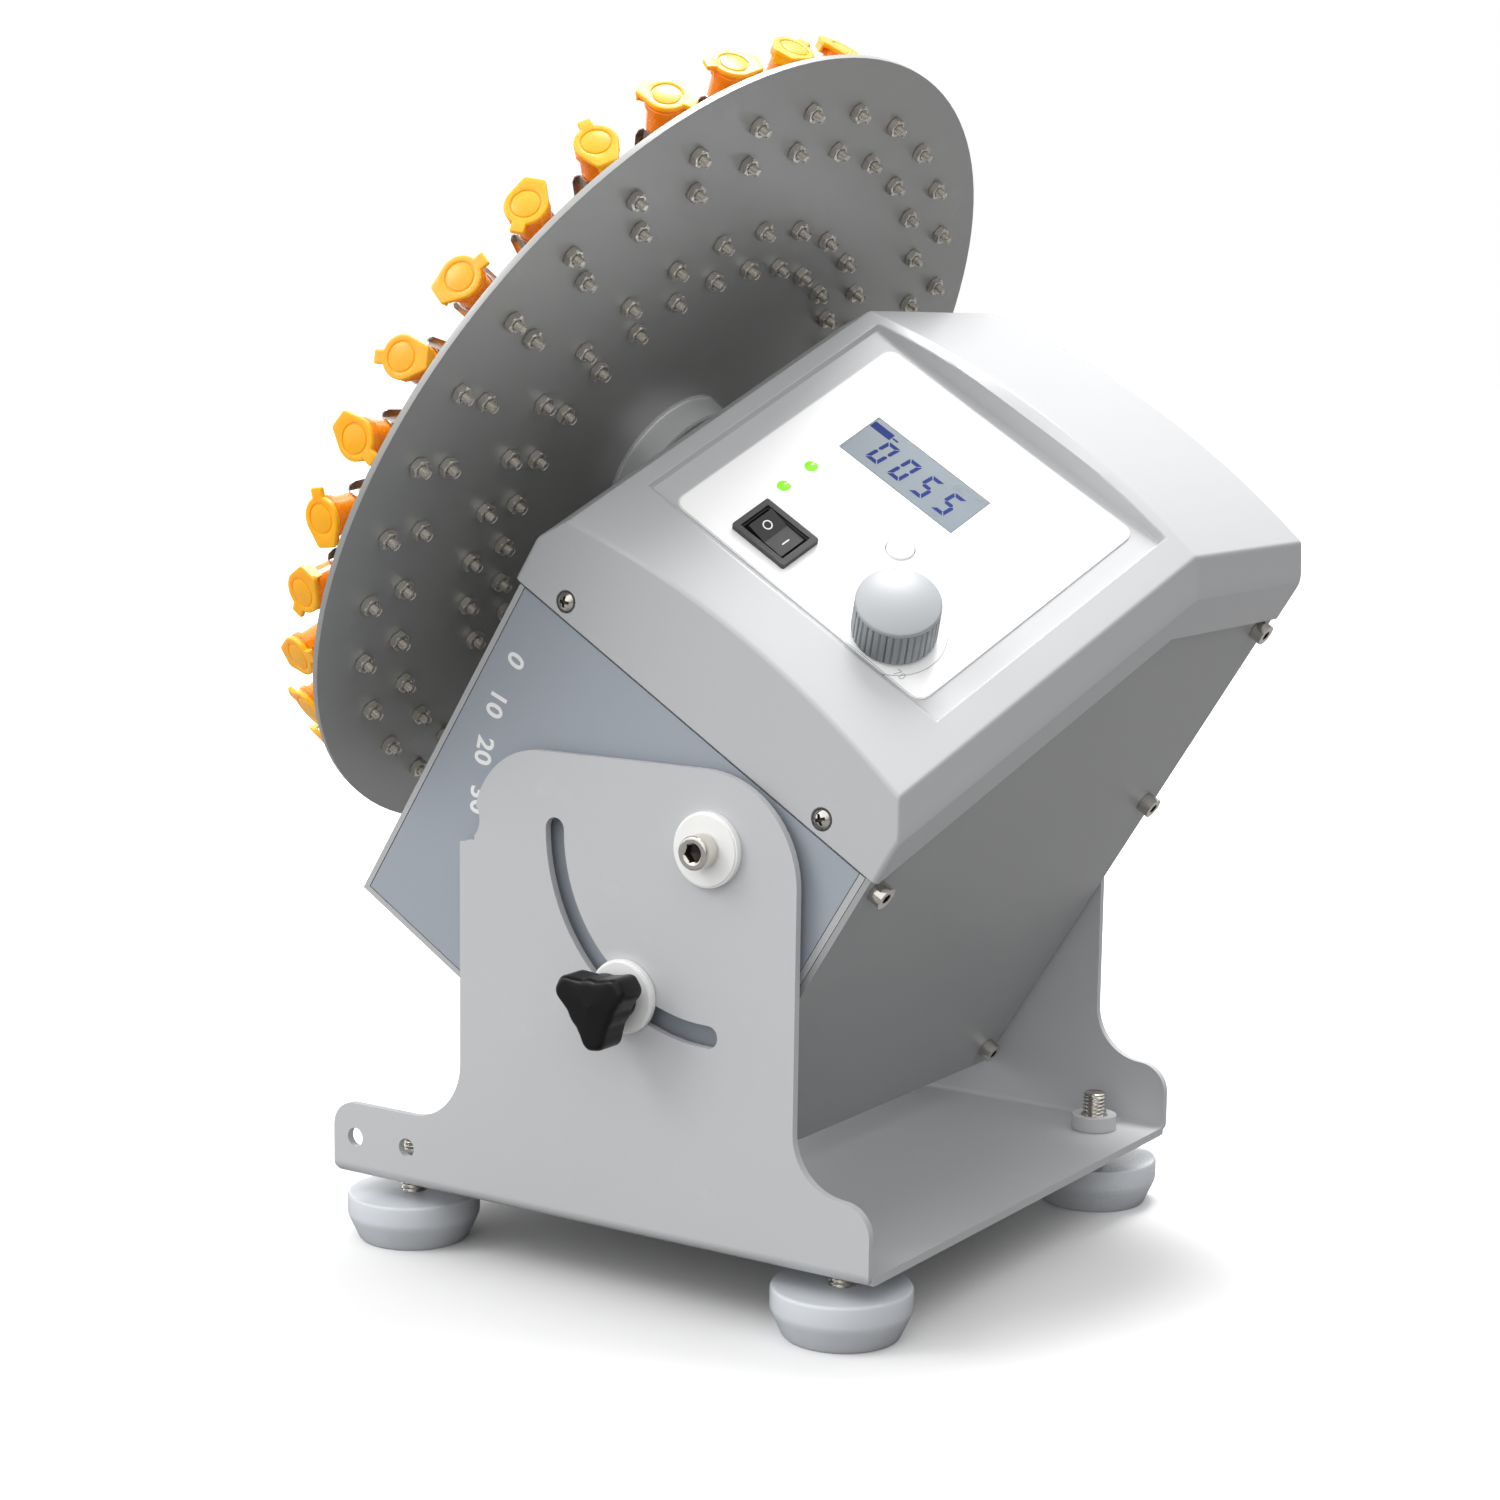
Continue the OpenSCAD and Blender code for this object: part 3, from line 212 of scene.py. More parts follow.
# ------------------------------------------------------------------ mesh helpers
def add_mesh(name, verts, faces, mat, matrix=None, smooth=True, sharp_deg=38, merge=0.004, mats=None, face_mats=None):
    """verts in mm, in the frame given by matrix; the mesh ends up in metres in the row frame."""
    me = bpy.data.meshes.new(name)
    v = np.asarray(verts, dtype=float)
    if matrix is not None:
        R = np.array(matrix.to_3x3()); t = np.array(matrix.translation)
        v = v @ R.T + t
    v = v*MM
    me.from_pydata([tuple(map(float, p)) for p in v], [], [tuple(map(int, f)) for f in faces])
    for mt in (mats or [mat]):
        me.materials.append(mt)
    if face_mats is not None:
        me.polygons.foreach_set("material_index", face_mats)
    bm = bmesh.new(); bm.from_mesh(me)
    if merge:
        bmesh.ops.remove_doubles(bm, verts=bm.verts, dist=merge*MM)
        bmesh.ops.dissolve_degenerate(bm, dist=merge*MM*0.5, edges=bm.edges)
    bmesh.ops.recalc_face_normals(bm, faces=bm.faces)
    bm.to_mesh(me); bm.free()
    shade(me, smooth, sharp_deg)
    ob = bpy.data.objects.new(name, me)
    sc.collection.objects.link(ob)
    return ob


def shade(me, smooth=True, sharp_deg=38):
    me.polygons.foreach_set("use_smooth", [smooth]*len(me.polygons))
    if smooth:
        bm = bmesh.new(); bm.from_mesh(me)
        lim = math.radians(sharp_deg)
        for e in bm.edges:
            e.smooth = not (len(e.link_faces) == 2 and e.calc_face_angle(0) > lim)
        bm.to_mesh(me); bm.free()
    me.update()


def place(ob, body, *replaced, slot=None):
    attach(ob, body)
    if replaced:
        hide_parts(*replaced)
    return ob


def join_parts(parts):
    """parts: list of (verts, faces); returns one verts array and face list"""
    V, F, n = [], [], 0
    for v, f in parts:
        v = np.asarray(v, float)
        V.append(v)
        F.extend([tuple(i + n for i in q) for q in f])
        n += len(v)
    return np.vstack(V), F


def xf(v, m):
    R = np.array(m.to_3x3()); t = np.array(m.translation)
    return np.asarray(v, float) @ R.T + t


def grid_faces(nr, nc, closed_c=False, base=0, flip=False):
    f = []
    cc = nc if closed_c else nc - 1
    for i in range(nr - 1):
        for j in range(cc):
            a = base + i*nc + j; b = base + i*nc + (j + 1) % nc
            c = base + (i + 1)*nc + (j + 1) % nc; d = base + (i + 1)*nc + j
            f.append((a, d, c, b) if flip else (a, b, c, d))
    return f


def revolve(profile, n=64, cap0=True, cap1=True, shape=None):
    """profile: [(r, z)...] round z. shape(phi, r, z) may change the radius."""
    ph = np.arange(n)*2*math.pi/n
    V = []
    for r, z in profile:
        rr = np.full(n, float(r)) if shape is None else np.array([shape(p, r, z) for p in ph])
        V.append(np.stack([rr*np.cos(ph), rr*np.sin(ph), np.full(n, float(z))], 1))
    V = np.vstack(V)
    F = grid_faces(len(profile), n, True)
    if cap0:
        c = len(V); V = np.vstack([V, [[0, 0, profile[0][1]]]])
        F += [((j + 1) % n, j, c) for j in range(n)]
    if cap1:
        c = len(V); V = np.vstack([V, [[0, 0, profile[-1][1]]]])
        b = (len(profile) - 1)*n
        F += [(b + j, b + (j + 1) % n, c) for j in range(n)]
    return V, F


def arc(cx, cy, r, a0, a1, n):
    return [(cx + r*math.cos(math.radians(a0 + (a1 - a0)*k/n)), cy + r*math.sin(math.radians(a0 + (a1 - a0)*k/n))) for k in range(n + 1)]


def fillet(points, radii, n=5):
    """Open path with its inner corners rounded."""
    out = [points[0]]
    for k in range(1, len(points) - 1):
        p, a, b = (np.array(points[i], float) for i in (k, k - 1, k + 1))
        r = radii[k] if k < len(radii) else 0
        da, db = a - p, b - p
        la, lb = np.linalg.norm(da), np.linalg.norm(db)
        if r <= 0 or la == 0 or lb == 0:
            out.append(tuple(p)); continue
        da, db = da/la, db/lb
        cosang = max(-1, min(1, float(da @ db)))
        half = math.acos(cosang)/2
        if half > math.pi/2 - 0.01:
            out.append(tuple(p)); continue
        t = min(r/math.tan(half), la*0.49, lb*0.49)
        r2 = t*math.tan(half)
        c = p + (da + db)/np.linalg.norm(da + db)*(r2/math.sin(half))
        s, e = p + da*t - c, p + db*t - c
        a0 = math.atan2(s[1], s[0]); a1 = math.atan2(e[1], e[0])
        d = (a1 - a0 + math.pi) % (2*math.pi) - math.pi
        for q in range(n + 1):
            an = a0 + d*q/n
            out.append((c[0] + r2*math.cos(an), c[1] + r2*math.sin(an)))
    out.append(points[-1])
    return out


def prism(outline, z0, z1, bevel=0.0, bn=2, axis_m=None):
    """Closed outline extruded along z with its long edges rounded by insetting."""
    o = np.array(outline, float)
    n = len(o)
    nxt, prv = np.roll(o, -1, 0), np.roll(o, 1, 0)
    t1 = o - prv; t2 = nxt - o
    t1 /= np.maximum(np.linalg.norm(t1, axis=1), 1e-9)[:, None]
    t2 /= np.maximum(np.linalg.norm(t2, axis=1), 1e-9)[:, None]
    area = 0.5*np.sum(o[:, 0]*nxt[:, 1] - nxt[:, 0]*o[:, 1])
    sgn = 1 if area > 0 else -1
    nn = np.stack([-(t1 + t2)[:, 1], (t1 + t2)[:, 0]], 1)*sgn
    nn /= np.maximum(np.linalg.norm(nn, axis=1), 1e-9)[:, None]
    scale = 1/np.maximum(0.5, np.abs(nn[:, 0]*-t1[:, 1]*sgn + nn[:, 1]*t1[:, 0]*sgn))
    levels = []
    if bevel > 0:
        for k in range(bn + 1):
            a = math.pi/2*k/bn
            levels.append((z0 + bevel*(1 - math.sin(a)), bevel*(1 - math.cos(a))))
        levels = [(z0 + bevel*(1 - math.sin(math.pi/2*k/bn)), bevel*(1 - math.cos(math.pi/2*k/bn))) for k in range(bn, -1, -1)]
        levels += [(z1 - bevel*(1 - math.sin(math.pi/2*k/bn)), bevel*(1 - math.cos(math.pi/2*k/bn))) for k in range(0, bn + 1)]
    else:
        levels = [(z0, 0), (z1, 0)]
    V = np.vstack([np.hstack([o + nn*scale[:, None]*ins, np.full((n, 1), z)]) for z, ins in levels])
    F = grid_faces(len(levels), n, True)
    F.append(tuple(range(n - 1, -1, -1)))
    b = (len(levels) - 1)*n
    F.append(tuple(range(b, b + n)))
    return V, F


def rrect(x0, y0, x1, y1, r, n=5):
    pts = []
    for cx, cy, a in ((x1 - r, y0 + r, -90), (x1 - r, y1 - r, 0), (x0 + r, y1 - r, 90), (x0 + r, y0 + r, 180)):
        pts += arc(cx, cy, r, a, a + 90, n)
    return pts


# ------------------------------------------------------------------ CAD nodes that stay: material and small edge rounds
def keep(name, mat, bevel=0.0, seg=2, angle=30):
    ob = nodes[name]
    me = ob.data
    for i in range(len(ob.material_slots)):
        ob.material_slots[i].link = 'OBJECT'
        ob.material_slots[i].material = mat
    if not len(ob.material_slots):
        me.materials.append(None)
        ob.material_slots[0].link = 'OBJECT'
        ob.material_slots[0].material = mat
    if bevel > 0:
        w = ob.modifiers.new("weld", 'WELD'); w.merge_threshold = 5e-6
        d = ob.modifiers.new("flat", 'DECIMATE'); d.decimate_type = 'DISSOLVE'; d.angle_limit = math.radians(0.6)
        b = ob.modifiers.new("edge", 'BEVEL')
        b.width = bevel*MM; b.segments = seg; b.limit_method = 'ANGLE'; b.angle_limit = math.radians(angle)
        b.harden_normals = False; b.use_clamp_overlap = True; b.miter_outer = 'MITER_ARC'
        n = ob.modifiers.new("normals", 'WEIGHTED_NORMAL'); n.keep_sharp = False; n.weight = 80
    return ob


def clean_normals(me, big=150.0, flat_deg=0.35):
    """flat faces shade flat to their very edge; rounds blend into them"""
    bm = bmesh.new(); bm.from_mesh(me)
    bm.faces.ensure_lookup_table(); bm.verts.ensure_lookup_table()
    bm.faces.index_update()
    group = [-1]*len(bm.faces); garea = []; gnorm = []
    lim = math.radians(flat_deg)
    for f0 in bm.faces:
        if group[f0.index] >= 0:
            continue
        g = len(garea); stack = [f0]; group[f0.index] = g; area = 0.0; nrm = f0.normal.copy()
        while stack:
            f1 = stack.pop(); area += f1.calc_area()
            for e in f1.edges:
                if len(e.link_faces) == 2 and e.calc_face_angle(9) < lim:
                    for f2 in e.link_faces:
                        if group[f2.index] < 0 and f2.normal.dot(nrm) > 0.99998:
                            group[f2.index] = g; stack.append(f2)
        garea.append(area/MM/MM); gnorm.append(nrm)
    out = [None]*sum(len(f.loops) for f in bm.faces)
    for v in bm.verts:
        faces = list(v.link_faces)
        left = set(f.index for f in faces)
        while left:
            seed = next(iter(left)); fan = {seed}; left.discard(seed); stack = [bm.faces[seed]]
            while stack:
                f1 = stack.pop()
                for e in f1.edges:
                    if e.smooth and v in e.verts:
                        for f2 in e.link_faces:
                            if f2.index in left:
                                left.discard(f2.index); fan.add(f2.index); stack.append(f2)
            bigs = {group[k] for k in fan if garea[group[k]] > big}
            if bigs:
                n = Vector((0, 0, 0))
                for g in bigs:
                    n += gnorm[g]*garea[g]
            else:
                n = Vector((0, 0, 0))
                for k in fan:
                    f1 = bm.faces[k]
                    for l in f1.loops:
                        if l.vert == v:
                            n += f1.normal*l.calc_angle()*math.sqrt(f1.calc_area())
            if n.length < 1e-12:
                n = bm.faces[seed].normal.copy()
            n.normalize()
            for k in fan:
                f1 = bm.faces[k]
                for l in f1.loops:
                    if l.vert == v:
                        out[l.index] = tuple(gnorm[group[k]]) if garea[group[k]] > big else tuple(n)
    bm.free()
    me.normals_split_custom_set(out)


def refine(name, mat, body, bevel=0.3, seg=2, sharp=42, new_name=None, big=150.0, edge=None, sides=None, narrow=1e9):
    """the node's own mesh with flat faces merged, edges rounded and clean normals; given an edge material, the rounds
    and narrow cut faces take it as a painted highlight
    """
    me = nodes[name].data.copy()
    bm = bmesh.new(); bm.from_mesh(me)
    for f_ in bm.faces:
        f_.material_index = 0
    bmesh.ops.remove_doubles(bm, verts=bm.verts, dist=4e-6)
    bmesh.ops.dissolve_degenerate(bm, dist=2e-6, edges=bm.edges)
    bmesh.ops.dissolve_limit(bm, angle_limit=math.radians(0.4), verts=bm.verts, edges=bm.edges)
    if bevel > 0:
        es = [e for e in bm.edges if len(e.link_faces) == 2 and e.calc_face_angle(0) > math.radians(32)]
        # with an edge material the new bevel faces take material 1: painted highlight along the edges
        bmesh.ops.bevel(bm, geom=es, offset=bevel*MM, offset_type='OFFSET', segments=seg, profile=0.5,
                        affect='EDGES', clamp_overlap=True, miter_outer='ARC', material=1 if edge else -1)
        bmesh.ops.remove_doubles(bm, verts=bm.verts, dist=1e-6)
    bmesh.ops.recalc_face_normals(bm, faces=bm.faces)
    for f_ in bm.faces:
        f_.smooth = True
        if f_.material_index != 1:
            f_.material_index = 0
        # narrow faces across the sides axis (sheet cut edges, disc rim) take material 1 too: painted highlight
        if not edge:
            f_.material_index = 0
        elif sides is not None and abs(f_.normal.dot(sides)) < 0.9 and f_.calc_area() < narrow*1e-6:
            f_.material_index = 1
    lim = math.radians(sharp)
    for e in bm.edges:
        e.smooth = not (len(e.link_faces) == 2 and e.calc_face_angle(0) > lim)
    nm = bpy.data.meshes.new(new_name or name + "_part")
    bm.to_mesh(nm); bm.free()
    for k in ("custom_normal",):
        if k in nm.attributes:
            nm.attributes.remove(nm.attributes[k])
    bpy.data.meshes.remove(me)
    nm.materials.clear(); nm.materials.append(mat)
    if edge:
        nm.materials.append(edge)
    ob = bpy.data.objects.new(new_name or name + "_part", nm)
    sc.collection.objects.link(ob)
    clean_normals(nm, big)
    return place(ob, body, name)


for f in ("front_left", "front_right", "rear_left", "rear_right"):
    refine("foot_pad_" + f, M["foot"], "foot_" + f, 0.0, sharp=40)
    keep("foot_stud_" + f, M["stainless"])
# bracket rounds and sheet cut faces in near-white: painted highlight
refine("bracket", M["bracket"], "base", 0.45, edge=M["painted_highlight_edge"], sides=Vector((0, 1, 0)), narrow=420)
refine("thread_bosses", M["bracket"], "base", 0.3, big=40)
refine("pivot_bushes", M["nylon"], "base", 0.3, big=60)
keep("pivot_spacers", M["nylon"])
# lighter colour on the rounded edges of the casing parts: painted highlight
refine("chassis", M["casing"], "head", 0.3, edge=M["painted_highlight_edge"])
refine("side_panel_near", M["slate"], "head", 0.35, edge=M["painted_highlight_edge_silver"])
refine("side_panel_far", M["slate"], "head", 0.35, edge=M["painted_highlight_edge_silver"])
# back plate in the darker colour: painted shade
refine("back_plate", M["back"], "head", 0.35, edge=M["painted_highlight_edge"])
refine("back_plate_screws", M["stainless"], "head", 0.25, big=12)
keep("top_cover", M["cover"])
keep("cover_brackets", M["steel"])
refine("panel_film", M["film"], "head", 0.06, 1)
refine("lcd_window", M["lcd"], "head", 0.05, big=60)
keep("lcd_module", M["lcd_case"])
refine("led_lenses", M["lamp"], "head", 0.0, sharp=40)
refine("rocker_housing", M["rocker_frame"], "head", 0.3, big=20)
refine("rocker_paddle", M["rocker"], "rocker", 0.35, 3, big=30)
refine("mode_button", M["film"], "button", 0.1, big=20)
keep("control_knob", M["knob"])
keep("knob_shaft", M["stainless"])
keep("knob_potentiometer", M["lcd_case"])
keep("control_board", M["board"])
keep("board_standoffs", M["brass"])
keep("drive_board", M["board"])
refine("dc_inlet", M["black"], "head", 0.2, big=20)
keep("pivot_blocks", M["housing"])
refine("tilt_washer", M["nylon"], "head", 0.3, big=60)
keep("tilt_knob", M["black"])
keep("tilt_stud", M["stainless"])
refine("bearing_housing", M["housing"], "head", 0.25, big=100)
keep("bearings", M["stainless"])
keep("housing_screws", M["stainless"])
keep("motor_bracket", M["steel"])
keep("gear_motor", M["motor"])
keep("motor_pinion", M["brass"])
keep("spindle", M["stainless"])
keep("drive_gear", M["gear"])
refine("disc_hub", M["hub"], "disc", 0.3, 3)
keep("hub_screws", M["stainless"])
# disc rim and its rounds in near-white: painted highlight
refine("disc_plate", M["disc"], "disc", 0.3, 2, edge=M["painted_highlight_disc_rim"], sides=(H.to_3x3() @ Vector((1, 0, 0))))
keep("outer_clips", M["spring"])
keep("inner_clips", M["spring"])
keep("clip_screws", M["stainless"])
keep("clip_nuts", M["dark_steel"])
keep("outer_tubes", M["tube_lid"])
keep("inner_tubes", M["tube_lid"])



# ------------------------------------------------------------------ boolean helper
def cut(ob, *tools, op='DIFFERENCE', sharp=35):
    for t in tools:
        m = ob.modifiers.new("cut", 'BOOLEAN')
        m.operation = op; m.solver = 'EXACT'; m.object = t
    bpy.context.view_layer.update()
    dg = bpy.context.evaluated_depsgraph_get()
    me = bpy.data.meshes.new_from_object(ob.evaluated_get(dg))
    ob.modifiers.clear()
    old = ob.data
    ob.data = me
    bpy.data.meshes.remove(old)
    for t in tools:
        md = t.data
        bpy.data.objects.remove(t)
        bpy.data.meshes.remove(md)
    shade(ob.data, True, sharp)
    return ob


def smin(a, b, k):
    h = max(k - abs(a - b), 0.0)/k
    return min(a, b) - h*h*k*0.25


def smax(a, b, k):
    return -smin(-a, -b, k)


# ------------------------------------------------------------------ cover
CHU, ARCH = 7.0, 7.0
MID = (C0 + C1)/2
LARC = C1 - C0 - 2*CHU
APEX_Y = -CW + (COVER_TOP - COVER_LOW)/math.tan(SL)


def arch_h(u, rise, chu, chh, k=0.7):
    R = ((C1 - C0 - 2*chu)**2/4 + rise*rise)/(2*rise)
    c = rise - R + math.sqrt(R*R - (u - MID)**2)
    d = min(u - C0, C1 - u)
    return smin(c, -chh + d*chh/chu, k)


def recess_n(u, w):
    a = smax(-0.45, -0.45 + (27.6 - w)*8.45/5.6, 0.5)
    b = smax(-0.45, -0.45 + (w - 124.2)*8.45/4.4, 0.5)
    c = smax(-0.45, -0.45 + (-87 - u)*8.45/3.7, 0.5)
    d = smax(-0.45, -0.45 + (u - 28.3)*8.45/3.7, 0.5)
    return max(a, b, c, d)


def cover_stations():
    re = 1.8
    us = []
    end = [re*(1 - math.cos(math.radians(a))) for a in (0, 18, 36, 54, 72, 90)]
    us += [C0 + d for d in end]
    us += [C0 + d for d in (3, 4.5, 5.6, 6.2, 6.6, 7.0, 7.4, 7.8, 8.4)]
    us += [-92.2 + 0.45*k for k in range(0, 14)]
    x = us[-1] + 1.5
    while x < 26.8:
        us.append(x); x += 2.6
    us += [27.2 + 0.45*k for k in range(0, 13)]
    x = us[-1] + 2.0
    while x < C1 - 9.4:
        us.append(x); x += 2.0
    us += [C1 - d for d in (8.4, 7.8, 7.4, 7.0, 6.6, 6.2, 5.6, 4.5, 3)]
    us += [C1 - d for d in reversed(end)]
    return sorted(us)


def cover_section(u, t, us):
    re = 1.8
    d = min(u - C0, C1 - u)
    inset = re - math.sqrt(max(0, re*re - (re - d)**2)) if d < re else 0.0
    extra = 0.35*inset if t == 0 else 0
    if t > 0:
        inset = 0
    hs = arch_h(u, ARCH*math.cos(SL), CHU + 0.2, 9.4) + 0.15 - extra - t
    hv = arch_h(u, ARCH, CHU, 10.5) - extra - t
    Y = CW - inset - t
    cs, sn = math.cos(SL), math.sin(SL)
    wB = (CW - Y + hs*sn)/cs
    wC = (COVER_TOP + hv - COVER_LOW - hs*cs)/sn
    rB, rC, rD = (2.2, 3.0, 2.2) if t == 0 else (0.6, 1.0, 0.6)

    def on_slope(w, n):
        return (-CW + w*cs - n*sn, COVER_LOW + w*sn + n*cs)
    low = 0.35 if t == 0 else 0
    A0, A = (-Y + low, LOW), (-Y, LOW + low)
    B = on_slope(wB, hs); C = on_slope(wC, hs)
    Dp = (Y, COVER_TOP + hv); E = (Y, FAR_LOW + low); E0 = (Y - low, FAR_LOW)
    nf = 5
    fb = fillet([A, B, C], [0, rB, 0], nf)[1:-1]
    fc = fillet([B, C, Dp], [0, rC, 0], nf)[1:-1]
    fd = fillet([C, Dp, E], [0, rD, 0], nf)[1:-1]
    pts = [A0, A]
    for k in (1, 2, 3):
        pts.append((A[0], A[1] + (fb[0][1] - A[1])*k/4))
    pts += fb
    w_lo = (fb[-1][0] + CW + hs*sn)/cs
    w_hi = (fc[0][0] + CW + hs*sn)/cs
    ws = W_ABS
    hi = min(ws[-1], w_hi - 0.4)
    for w in ws:
        w2 = ws[0] + (w - ws[0])*(hi - ws[0])/(ws[-1] - ws[0]) if w_hi < ws[-1] + 0.4 else w
        n = hs
        if C0 + 8.0 < u < C1 - 8.0:
            n = smin(hs, recess_n(u, w2) - t, 0.7)
        pts.append(on_slope(w2, n))
    pts += fc
    for k in range(1, 9):
        f = k/9
        pts.append((fc[-1][0] + (fd[0][0] - fc[-1][0])*f, fc[-1][1] + (fd[0][1] - fc[-1][1])*f))
    pts += fd
    for k in (1, 2, 3):
        pts.append((E[0], fd[-1][1] + (E[1] - fd[-1][1])*k/4))
    pts += [E, E0]
    return pts


W_ABS = [2.6 + 0 for _ in range(0)]
W_ABS = [8, 12, 16, 19] + [21 + 0.45*k for k in range(16)] + [30, 34, 40, 48, 56, 64, 72, 80, 88, 96, 104, 111, 117, 120.5] + [122.4 + 0.4*k for k in range(13)]


def build_cover():
    us = cover_stations()
    outer = [[(u, p[0], p[1]) for p in cover_section(u, 0, us)] for u in us]
    T = 2.2
    ui = [C0 + T + (u - C0)*(C1 - C0 - 2*T)/(C1 - C0) for u in us]
    inner = []
    for u, v in zip(us, ui):
        sec = cover_section(min(max(v, C0 + T), C1 - T), T, us)
        inner.append([(v, p[0], p[1]) for p in sec])
    nr, nc = len(us), len(outer[0])
    V = [p for r in outer for p in r]
    base = len(V)
    V += [p for r in inner for p in r]
    F = grid_faces(nr, nc)
    F += grid_faces(nr, nc, base=base, flip=True)
    # lower rims along both sides
    for i in range(nr - 1):
        F.append((i*nc, (i + 1)*nc, base + (i + 1)*nc, base + i*nc))
        a, b = i*nc + nc - 1, (i + 1)*nc + nc - 1
        F.append((b, a, base + a, base + b))
    # end walls and their lower rims
    for row, ub, s in ((0, C0, 1), (nr - 1, C1, -1)):
        ro = list(range(row*nc, row*nc + nc))
        ri = [base + k for k in ro]
        co = len(V); V.append((ub, APEX_Y, FAR_LOW))
        ci = len(V); V.append((ub + s*T, APEX_Y, FAR_LOW))
        if s > 0:
            F.append(tuple(ro[::-1] + [co])[::1]); F.append(tuple(ri + [ci]))
            F.append((ro[0], ri[0], ci, co)); F.append((co, ci, ri[-1], ro[-1]))
        else:
            F.append(tuple(ro + [co])); F.append(tuple(ri[::-1] + [ci]))
            F.append((ri[0], ro[0], co, ci)); F.append((ci, co, ro[-1], ri[-1]))
    ob = add_mesh("cover_shell", V, F, M["cover"], H, True, 32, merge=0.0)
    tools = []
    parts = []
    for u in (-81.9, 22.8):
        for s, vv in ((-1, LOW + 4.9), (1, FAR_LOW + 4.9)):
            m = Matrix.Translation((u, s*CW, vv)) @ Matrix.Rotation(math.radians(90 if s < 0 else -90), 4, 'X')
            v, f = revolve([(1.75, -6), (1.75, -0.9), (3.05, -0.9), (3.3, -0.65), (3.3, -0.25), (3.62, 0.08), (3.62, 1.5)], 40)
            parts.append((xf(v, m), f))
    mS = H.inverted() @ S
    for (x0, y0, x1, y1) in ((-61.3, 80.5, -15.5, 98), (-59, 34.8, -40, 47.8)):
        v, f = prism(rrect(x0, y0, x1, y1, 0.3, 2), -6, 3)
        parts.append((xf(v, mS), f))
    for (x, y, r) in ((-1.3, 41, 4.4), (-61.3, 57, 2.05), (-61.3, 68.6, 2.05), (-21.4, 65.1, 4.5)):
        v, f = revolve([(r, -6), (r, 3)], 32)
        parts.append((xf(v, mS @ Matrix.Translation((x, y, 0))), f))
    v, f = join_parts(parts)
    tool = add_mesh("cover_tool", v, f, M["cover"], H, False, 30, merge=0.0)
    ob = cut(ob, tool, sharp=32)
    clean_normals(ob.data, 260.0, 0.12)
    place(ob, "head", "top_cover")


build_cover()


# ------------------------------------------------------------------ tubes
def lid_outline():
    ph = set()
    r = 6.5
    tab_a = math.degrees(math.atan2(2.05, 9.15)); tab_b = math.degrees(math.asin(2.05/r))
    hin_a = math.degrees(math.atan2(3.2, 8.55)); P = math.hypot(3.2, 8.55); hin_b = hin_a + math.degrees(math.acos(r/P))
    for s in (-1, 1):
        for a in (tab_a - 1.6, tab_a, tab_a + 1.2, tab_b, 0, tab_a*0.5):
            ph.add(round((90 + s*a) % 360, 4))
        for a in (0, hin_a*0.5, hin_a - 2, hin_a, hin_a + 2.5, hin_b*0.55, hin_b*0.8, hin_b):
            ph.add(round((270 + s*a) % 360, 4))
    k = 0.0
    while k < 360:
        if not (90 - tab_b < k < 90 + tab_b or 270 - hin_b < k < 270 + hin_b):
            ph.add(round(k, 4))
        k += 10
    ph = sorted(ph)
    R = []
    for p in ph:
        q = r
        d = abs((p - 90 + 180) % 360 - 180)
        if d <= tab_a:
            q = 9.15/math.cos(math.radians(d))
            if d > tab_a - 1.7 and d < tab_a + 0.01:
                q -= 0.25 if d > tab_a - 0.01 else 0.02
        elif d < tab_b - 0.001:
            q = 2.05/math.sin(math.radians(d))
        e = abs((p - 270 + 180) % 360 - 180)
        if e <= hin_a:
            q = 8.55/math.cos(math.radians(e)) - (0.2 if e > hin_a - 0.01 else 0.03 if e > hin_a - 2.1 else 0)
        elif e < hin_b - 0.001:
            q = r/math.cos(math.radians(hin_b - e))
        R.append(q)
    return np.radians(ph), np.array(R)


